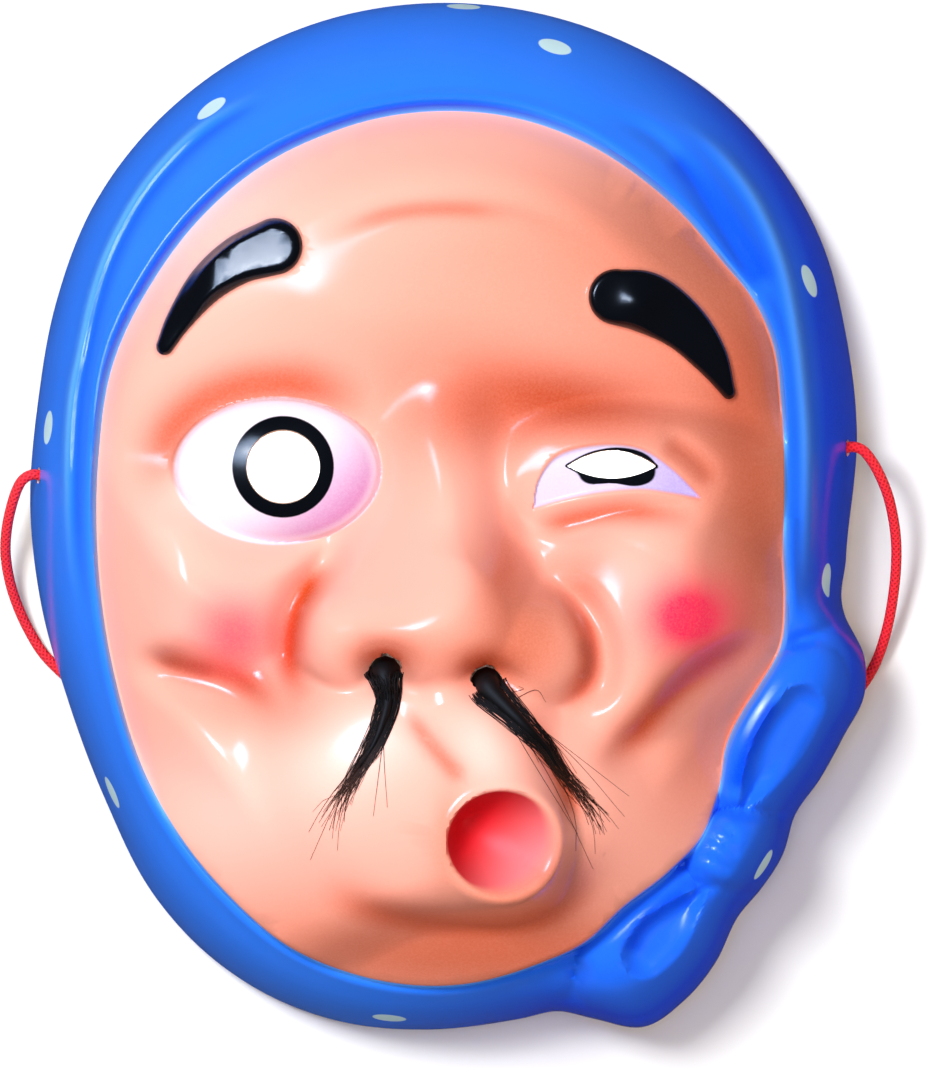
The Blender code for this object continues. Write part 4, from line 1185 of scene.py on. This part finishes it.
# Pale is a painted highlight; salmon, deep orange, brown and violet lay painted shade.
paint = airbrush(FLESH, PALE_HIGHLIGHT, "pale")
paint = airbrush(paint, SALMON_AND_SHADE, "salmon")
paint = airbrush(paint, DEEP_ORANGE_AND_SHADE, "deep")
paint = airbrush(paint, BROWN_SHADE, "brown")
paint = airbrush(paint, VIOLET_SHADE, "violet")
paint = airbrush(paint, BLUSH, "blush")

# %% [markdown]
# The red sits in the pipe mouth: a darker blood red on the deep side, a painted shade, and pink on
# the side that catches the light, a painted light. Its soft edge is a distance divided by a
# softness, both stored on the sheet.

# %% Paint: mouth
RED_DEEP = to_linear("#C41722")
RED_PALE = to_linear("#FB8C94")

lightness = node(front, "ShaderNodeAttribute", {"attribute_name": "red_light"}, {}, "Fac")
reds = node(front, "ShaderNodeMix", {"data_type": "RGBA"}, {0: lightness, 6: RED_DEEP, 7: RED_PALE}, 2)
off_red = node(front, "ShaderNodeAttribute", {"attribute_name": "off_red"}, {}, "Fac")
softness = node(front, "ShaderNodeAttribute", {"attribute_name": "red_softness"}, {}, "Fac")
in_softnesses = node(front, "ShaderNodeMath", {"operation": "DIVIDE"}, {0: off_red, 1: softness})
in_mouth = node(front, "ShaderNodeMapRange", {"interpolation_type": "SMOOTHSTEP"},
                {"Value": in_softnesses, "From Min": 1.0, "From Max": -1.0, "To Min": 0.0, "To Max": 1.0})
paint = node(front, "ShaderNodeMix", {"data_type": "RGBA"}, {0: in_mouth, 6: paint, 7: reds}, 2)

# %% Paint: eyes and brows
WHITE = to_linear("#FBF6FD")
PINK = to_linear("#C983BC")
LILAC = to_linear("#9E89DA")
BLACK = to_linear("#060910")

whites = airbrush(WHITE, LILAC, "eye_lilac")
whites = airbrush(whites, PINK, "eye_pink")
paint = stencil(paint, whites, "off_white", 0.45)
paint = stencil(paint, BLACK, "off_iris", 0.15)
paint = stencil(paint, BLACK, "off_brow", 0.12)

# %% Paint: scarf, its dots and the bare rim
BLUE = to_linear("#2A7BFC")
NAVY_SHADE = to_linear("#0044F4")
AZURE_HALO_AND_HIGHLIGHT = to_linear("#6FC0F5")
DOT = to_linear("#CDEFFA")
RAW = to_linear("#F6DCC8")

# Navy lays painted shade over the blue; azure is a pale halo at the hem and painted highlights on the folds.
blues = airbrush(BLUE, NAVY_SHADE, "navy")
blues = airbrush(blues, AZURE_HALO_AND_HIGHLIGHT, "azure")
off_dot = 1.0
for spot in dot_places:
    away = node(front, "ShaderNodeVectorMath", {"operation": "DISTANCE"}, {0: here, 1: tuple(spot)}, "Value")
    off_dot = node(front, "ShaderNodeMath", {"operation": "MINIMUM"}, {0: off_dot, 1: away})
in_dot = node(front, "ShaderNodeMapRange", {"interpolation_type": "SMOOTHSTEP"},
              {"Value": off_dot, "From Min": (DOT_R + 0.2) * MM, "From Max": (DOT_R - 0.2) * MM,
               "To Min": 0.0, "To Max": 1.0})
blues = node(front, "ShaderNodeMix", {"data_type": "RGBA"}, {0: in_dot, 6: blues, 7: DOT}, 2)
paint = stencil(paint, blues, "off_scarf", 0.15)
paint = stencil(paint, RAW, "off_bare_rim", 0.08)
link(front, paint, front_shader.inputs["Base Color"])
print("paint layers:", sum(n.bl_idname == "ShaderNodeMix" for n in front.node_tree.nodes))

# %% [markdown]
# Gloss is what sells it: a low roughness, which wanders a little over about 14 mm as the
# lacquer's film sags, and a faint orange-peel ripple about 2.5 mm across that breaks up the
# edges of the highlights. The red inside the mouth is sprayed drier and shines less.

# %% Gloss and orange peel
PEEL = 2.5
SAG = 14.3
peel = node(front, "ShaderNodeTexNoise", {}, {"Vector": here, "Scale": 1 / (PEEL * MM), "Detail": 1.0})
sag = node(front, "ShaderNodeTexNoise", {}, {"Vector": here, "Scale": 1 / (SAG * MM), "Detail": 2.0})
film = node(front, "ShaderNodeMapRange", {}, {"Value": sag, "From Min": 0.3, "From Max": 0.7,
                                              "To Min": 0.16, "To Max": 0.24})
film = node(front, "ShaderNodeMath", {"operation": "MULTIPLY_ADD"}, {0: in_mouth, 1: 0.26, 2: film})
ripple = node(front, "ShaderNodeBump", {}, {"Strength": 1.0, "Distance": 0.012 * MM, "Height": peel})
link(front, film, front_shader.inputs["Roughness"])
link(front, ripple, front_shader.inputs["Normal"])
front_shader.inputs["IOR"].default_value = 1.34

# %% [markdown]
# The back is the bare sheet: satin, pale, with the faint clouds of a heated plastic. Solidify
# keeps the front's faces first, then adds the back's and the rim's, so the front takes the
# paint by its number of faces and the rest stays raw.

# %% Raw back, and which faces are painted
back, back_shader = new_material("PVC sheet, unpainted")
back_here = node(back, "ShaderNodeTexCoord", {}, {}, "Object")
clouds = node(back, "ShaderNodeTexNoise", {}, {"Vector": back_here, "Scale": 45.0, "Detail": 3.0})
pales = node(back, "ShaderNodeMix", {"data_type": "RGBA"},
             {0: clouds, 6: to_linear("#EFC6AE"), 7: to_linear("#F8DFCD")}, 2)
grain = node(back, "ShaderNodeTexNoise", {}, {"Vector": back_here, "Scale": 1400.0, "Detail": 2.0})
matte = node(back, "ShaderNodeBump", {}, {"Strength": 0.6, "Distance": 0.02 * MM, "Height": grain})
link(back, pales, back_shader.inputs["Base Color"])
link(back, matte, back_shader.inputs["Normal"])
back_shader.inputs["Roughness"].default_value = 0.46

mesh = shell.data
mesh.materials.clear()
mesh.materials.append(front)
mesh.materials.append(back)
painted = np.arange(len(mesh.polygons)) < front_faces
mesh.polygons.foreach_set("material_index", np.where(painted, 0, 1).astype(np.int32))
deselect()
shell.select_set(True)
bpy.context.view_layer.objects.active = shell
bpy.ops.object.shade_smooth_by_angle(angle=math.radians(50))
stands_for(shell, "mask_shell")
print("painted faces:", int(painted.sum()), "raw faces:", int((~painted).sum()))

# %% [markdown]
# ## Nostril hair
#
# A bundle of coarse dark hair is glued into each nostril. It hangs out over the lip, is dense
# at the root and frays at the tip. Each tuft is one mesh: a dark core the shape of the solid,
# and 130 tapered strands laid along the same route. They twist a little about each other,
# wander, and splay past the end. A few strays leave the tuft on their own. A strand may not
# sink into the plastic, so its height is checked against the mould. Real hair is about 0.1 mm
# thick, and these are twice that, or the picture would lose them.

# %% Hair: routes, as x, y, z and half the tuft's width
LEFT_HAIR = [(-13.5, -34.4, 69.0, 4.2), (-13.5, -34.7, 73.5, 4.1), (-13.2, -36.4, 75.4, 3.3),
             (-12.7, -40.6, 75.4, 2.5), (-13.8, -45.0, 75.8, 2.2), (-15.6, -49.6, 77.0, 1.8),
             (-18.4, -54.4, 77.8, 1.4), (-21.2, -59.0, 76.8, 1.1), (-23.4, -62.8, 75.4, 1.0),
             (-25.6, -68.0, 72.0, 1.4), (-27.4, -74.6, 67.0, 2.2)]
RIGHT_HAIR = [(9.0, -36.9, 67.0, 4.2), (9.1, -37.2, 72.0, 4.3), (10.0, -38.8, 75.4, 3.9),
              (14.0, -42.8, 77.2, 3.0), (18.0, -46.8, 77.2, 2.5), (21.8, -50.8, 76.4, 2.0),
              (24.4, -55.0, 75.8, 1.5), (28.6, -60.0, 74.2, 1.1), (32.4, -64.6, 70.0, 1.0),
              (35.0, -68.6, 64.0, 1.6), (37.2, -73.0, 60.5, 2.6)]
STRANDS = 130
STRAND_STEPS = 18
STRAND_R = 0.12


def strand(line, share, offset, twist, splay, waves):
    """Points of one strand: a share of the tuft's line, off its middle and splaying at its end."""
    where = np.linspace(0.0, share, STRAND_STEPS)
    knots_at = np.linspace(0.0, 1.0, len(line))
    base = np.stack([np.interp(where, knots_at, line[:, k]) for k in range(4)], axis=1)
    ahead = np.gradient(base[:, :2], axis=0)
    ahead = ahead / np.maximum(np.linalg.norm(ahead, axis=1), 0.0001)[:, None]
    sideways = np.stack([-ahead[:, 1], ahead[:, 0]], axis=1)
    turn = offset[1] + twist * where
    wander = waves[0] * np.sin(waves[1] * where + waves[2]) * smooth(0.1, 0.7, where)
    aside = base[:, 3] * offset[0] * np.cos(turn) + wander + splay * np.maximum(where - 0.5, 0.0) ** 2
    lift = 0.7 * base[:, 3] * offset[0] * np.sin(turn)
    spots = base[:, :3].copy()
    spots[:, :2] += sideways * aside[:, None]
    spots[:, 2] += lift
    return spots


def laid_on_sheet(parts):
    """The same strands, lifted wherever they would sink into the sheet outside the nostril."""
    every = np.concatenate([spots for spots, _, _, _, _ in parts])
    where = np.concatenate([np.linspace(0.0, share, STRAND_STEPS) for _, _, _, _, share in parts])
    clear_of = heights(every[:, 0], every[:, 1]) + 0.3
    outside = smooth(0.06, 0.16, where)
    sunk = every[:, 2] < clear_of
    every[:, 2] = np.where(sunk, every[:, 2] * (1 - outside) + clear_of * outside, every[:, 2])
    pieces = every.reshape(len(parts), STRAND_STEPS, 3)
    return [(spots, *rest[1:]) for spots, rest in zip(pieces, parts)]


def tuft(name, route, stray_ends, seed):
    """One mesh of a core and many strands, with how far along and which tint kept on it."""
    pick = np.random.default_rng(seed)
    line = through(route, 8)
    core = strand(line, 0.62, (0.0, 0.0), 0.0, 0.0, (0.0, 1.0, 0.0))
    core_r = 0.84 * np.interp(np.linspace(0, 0.62, STRAND_STEPS), np.linspace(0, 1, len(line)), line[:, 3])
    parts = [(core, core_r * np.linspace(1.0, 0.2, STRAND_STEPS) ** 0.9, 10, 0.0, 0.62)]
    for _ in range(STRANDS):
        share = min(pick.triangular(0.42, 0.74, 1.0), 1.0)
        spots = strand(line, share, (math.sqrt(pick.uniform(0.1, 1.25)), pick.uniform(0, 2 * math.pi)),
                       pick.normal(0.0, 2.6), pick.normal(0.0, 11.0),
                       (abs(pick.normal(0.0, 0.6)), pick.uniform(6, 20), pick.uniform(0, 6)))
        radii = STRAND_R * np.linspace(1.3, 0.35, STRAND_STEPS) * pick.uniform(0.8, 1.15)
        parts.append((spots, radii, 3, pick.uniform(0.1, 1.0), share))
    for end in stray_ends:
        start = line[int(len(line) * pick.uniform(0.12, 0.3))]
        bend = (np.array(start[:2]) + np.array(end)) / 2 + pick.normal(0.0, 1.6, 2)
        flat_line = through([start[:2], bend, end], 10)
        flat_line = flat_line[np.linspace(0, len(flat_line) - 1, STRAND_STEPS).astype(int)]
        spots = np.column_stack([flat_line, np.linspace(start[2], 50.0, STRAND_STEPS)])
        parts.append((spots, STRAND_R * np.linspace(0.8, 0.35, STRAND_STEPS), 3, 1.0, 1.0))
    corners_made = []
    faces = []
    tips = []
    tints = []
    for spots, radii, sides, tint, share in laid_on_sheet(parts):
        ahead = np.gradient(spots, axis=0)
        ahead = ahead / np.maximum(np.linalg.norm(ahead, axis=1), 0.0001)[:, None]
        side = np.cross(ahead, (0.31, 0.94, 0.17))
        side = side / np.linalg.norm(side, axis=1)[:, None]
        other = np.cross(ahead, side)
        first = len(corners_made)
        for n in range(STRAND_STEPS):
            for k in range(sides):
                turn = 2 * math.pi * k / sides
                outward = side[n] * math.cos(turn) + other[n] * math.sin(turn)
                corners_made.append((spots[n] + outward * radii[n]) * MM)
                tips.append(share * n / (STRAND_STEPS - 1))
                tints.append(tint)
        for n in range(STRAND_STEPS - 1):
            for k in range(sides):
                a = first + n * sides + k
                b = first + n * sides + (k + 1) % sides
                faces.append((a, b, b + sides, a + sides))
        faces.append(tuple(first + k for k in reversed(range(sides))))
        faces.append(tuple(first + (STRAND_STEPS - 1) * sides + k for k in range(sides)))
    mesh = bpy.data.meshes.new(name)
    mesh.from_pydata([tuple(c) for c in corners_made], [], faces)
    for layer_name, values in (("tip", tips), ("tint", tints)):
        layer = mesh.attributes.new(layer_name, "FLOAT", "POINT")
        layer.data.foreach_set("value", np.asarray(values, np.float32))
    mesh.shade_smooth()
    piece = bpy.data.objects.new(name, mesh)
    bpy.context.scene.collection.objects.link(piece)
    return piece


LEFT_STRAYS = [(-12.9, -64.0), (-16.0, -66.0), (-30.0, -76.0)]
RIGHT_STRAYS = [(39.5, -66.5), (40.5, -62.0), (32.5, -78.0), (29.0, -70.0), (22.0, -41.0), (16.0, -37.5)]
left_tuft = tuft("nostril_hair_strands_left", LEFT_HAIR, LEFT_STRAYS, 11)
right_tuft = tuft("nostril_hair_strands_right", RIGHT_HAIR, RIGHT_STRAYS, 23)
for piece, solid in ((left_tuft, "nostril_hair_left"), (right_tuft, "nostril_hair_right")):
    stands_for(piece, solid)
    box = places(piece.data)
    print(piece.name, box.min(axis=0).round(1), box.max(axis=0).round(1), "faces:", len(piece.data.polygons))

# %% [markdown]
# The hair is nearly black with a brown that shows only where single strands thin out at the
# tips. It is dull: dyed coarse hair has little shine.

# %% Material: hair
hair, hair_shader = new_material("coarse dark hair")
tip = node(hair, "ShaderNodeAttribute", {"attribute_name": "tip"}, {}, "Fac")
tint = node(hair, "ShaderNodeAttribute", {"attribute_name": "tint"}, {}, "Fac")
fading = node(hair, "ShaderNodeMapRange", {}, {"Value": tip, "From Min": 0.45, "From Max": 0.95})
browning = node(hair, "ShaderNodeMath", {"operation": "MULTIPLY"}, {0: fading, 1: tint})
blacks = node(hair, "ShaderNodeMix", {"data_type": "RGBA"},
              {0: tint, 6: to_linear("#080606"), 7: to_linear("#15100F")}, 2)
browns = node(hair, "ShaderNodeMix", {"data_type": "RGBA"},
              {0: browning, 6: blacks, 7: to_linear("#5A3524")}, 2)
link(hair, browns, hair_shader.inputs["Base Color"])
hair_shader.inputs["Roughness"].default_value = 0.62
hair_shader.inputs["Specular IOR Level"].default_value = 0.25
for piece in (left_tuft, right_tuft):
    piece.data.materials.append(hair)

# %% [markdown]
# ## Knots and braid
#
# Behind each cord hole the elastic is tied in an overhand knot that is too fat to pull
# through. The knot is the loop of a trefoil, opened at one place: one end leads to the hole
# and the other is a short cut tail. It is swept with the same tube as the cord.

# %% Knots
KNOT_SCALE = 0.74
KNOT_DEPTH = 1.15
TAIL = 3.0


def overhand(name, centre, hole, out):
    """An overhand knot round a centre, its plane across the cord, its tail hanging down."""
    out = np.array(out) / np.linalg.norm(out)
    level = np.cross(out, (0.0, 0.0, 1.0))
    level = level / np.linalg.norm(level)
    upward = np.cross(level, out)
    turns = np.linspace(0.5, 2 * math.pi - 0.35, 44)
    a = (np.sin(turns) + 2 * np.sin(2 * turns)) * KNOT_SCALE
    b = (np.cos(turns) - 2 * np.cos(2 * turns)) * KNOT_SCALE
    c = -np.sin(3 * turns) * KNOT_DEPTH
    loop = np.array(centre) + np.outer(a, level) + np.outer(b, upward) + np.outer(c, out)
    start = np.array(hole) - out * 1.2
    ahead = loop[-1] - loop[-2]
    tail = [loop[-1] + ahead * 3.0, loop[-1] + ahead * 4.0 - upward * TAIL]
    line = through([start, (start + loop[0]) / 2 + level * 0.6, *loop[::4], *tail], 6)
    return tube(name, line, [CORD_D / 2 * 0.94] * len(line), 14)


left_knot = overhand("cord_overhand_knot_left", (-87.8, 8.8, 18.3), LEFT_HOLE, LEFT_OUT)
right_knot = overhand("cord_overhand_knot_right", (86.6, 14.6, 18.3), RIGHT_HOLE, RIGHT_OUT)
for piece, solid in ((left_knot, "cord_knot_left"), (right_knot, "cord_knot_right")):
    stands_for(piece, solid)
    box = places(piece.data)
    print(piece.name, box.min(axis=0).round(1), box.max(axis=0).round(1))

# %% [markdown]
# The elastic is rubber in a braided polyester sleeve. Two families of threads wind round it
# in opposite ways, with a crossing about every millimetre. Their height is worked out from
# the UV map: millimetres along, turns round. The threads' crowns are painted a brighter red
# than the grooves between them, a painted shade in the grooves, which is all that shows at
# arm's length.

# %% Material: braided elastic
THREADS = 6.0
PITCH = 1.3
sleeve, sleeve_shader = new_material("braided polyester over rubber")
cord_uv = node(sleeve, "ShaderNodeUVMap", {"uv_map": "along"}, {}, "UV")
mm_along = node(sleeve, "ShaderNodeSeparateXYZ", {}, {"Vector": cord_uv}, "X")
turns_round = mm_along.node.outputs["Y"]
steps_along = node(sleeve, "ShaderNodeMath", {"operation": "MULTIPLY"},
                   {0: mm_along, 1: 2 * math.pi / PITCH})
steps_round = node(sleeve, "ShaderNodeMath", {"operation": "MULTIPLY"},
                   {0: turns_round, 1: 2 * math.pi * THREADS})
one_way = node(sleeve, "ShaderNodeMath", {"operation": "ADD"}, {0: steps_along, 1: steps_round})
other_way = node(sleeve, "ShaderNodeMath", {"operation": "SUBTRACT"}, {0: steps_along, 1: steps_round})
first_threads = node(sleeve, "ShaderNodeMath", {"operation": "SINE"}, {0: one_way})
second_threads = node(sleeve, "ShaderNodeMath", {"operation": "SINE"}, {0: other_way})
crowns = node(sleeve, "ShaderNodeMath", {"operation": "MAXIMUM"}, {0: first_threads, 1: second_threads})
relief = node(sleeve, "ShaderNodeBump", {}, {"Strength": 1.0, "Distance": 0.12 * MM, "Height": crowns})
worn = node(sleeve, "ShaderNodeTexNoise", {},
            {"Vector": node(sleeve, "ShaderNodeTexCoord", {}, {}, "Object"), "Scale": 160.0})
# Painted shade: the red is darker in the grooves between the threads and lighter on their crowns.
shade = node(sleeve, "ShaderNodeMapRange", {}, {"Value": crowns, "From Min": -0.6, "From Max": 1.0,
                                                "To Min": 0.0, "To Max": 0.9})
lit = node(sleeve, "ShaderNodeMath", {"operation": "MULTIPLY_ADD"}, {0: worn, 1: 0.3, 2: shade})
reds_of_cord = node(sleeve, "ShaderNodeMix", {"data_type": "RGBA"},
                    {0: lit, 6: to_linear("#C8101C"), 7: to_linear("#FF2C38")}, 2)
link(sleeve, reds_of_cord, sleeve_shader.inputs["Base Color"])
link(sleeve, relief, sleeve_shader.inputs["Normal"])
sleeve_shader.inputs["Roughness"].default_value = 0.62
for piece in (cord, left_knot, right_knot):
    piece.data.materials.clear()
    piece.data.materials.append(sleeve)
print("braid crossings each", PITCH / 2, "mm")
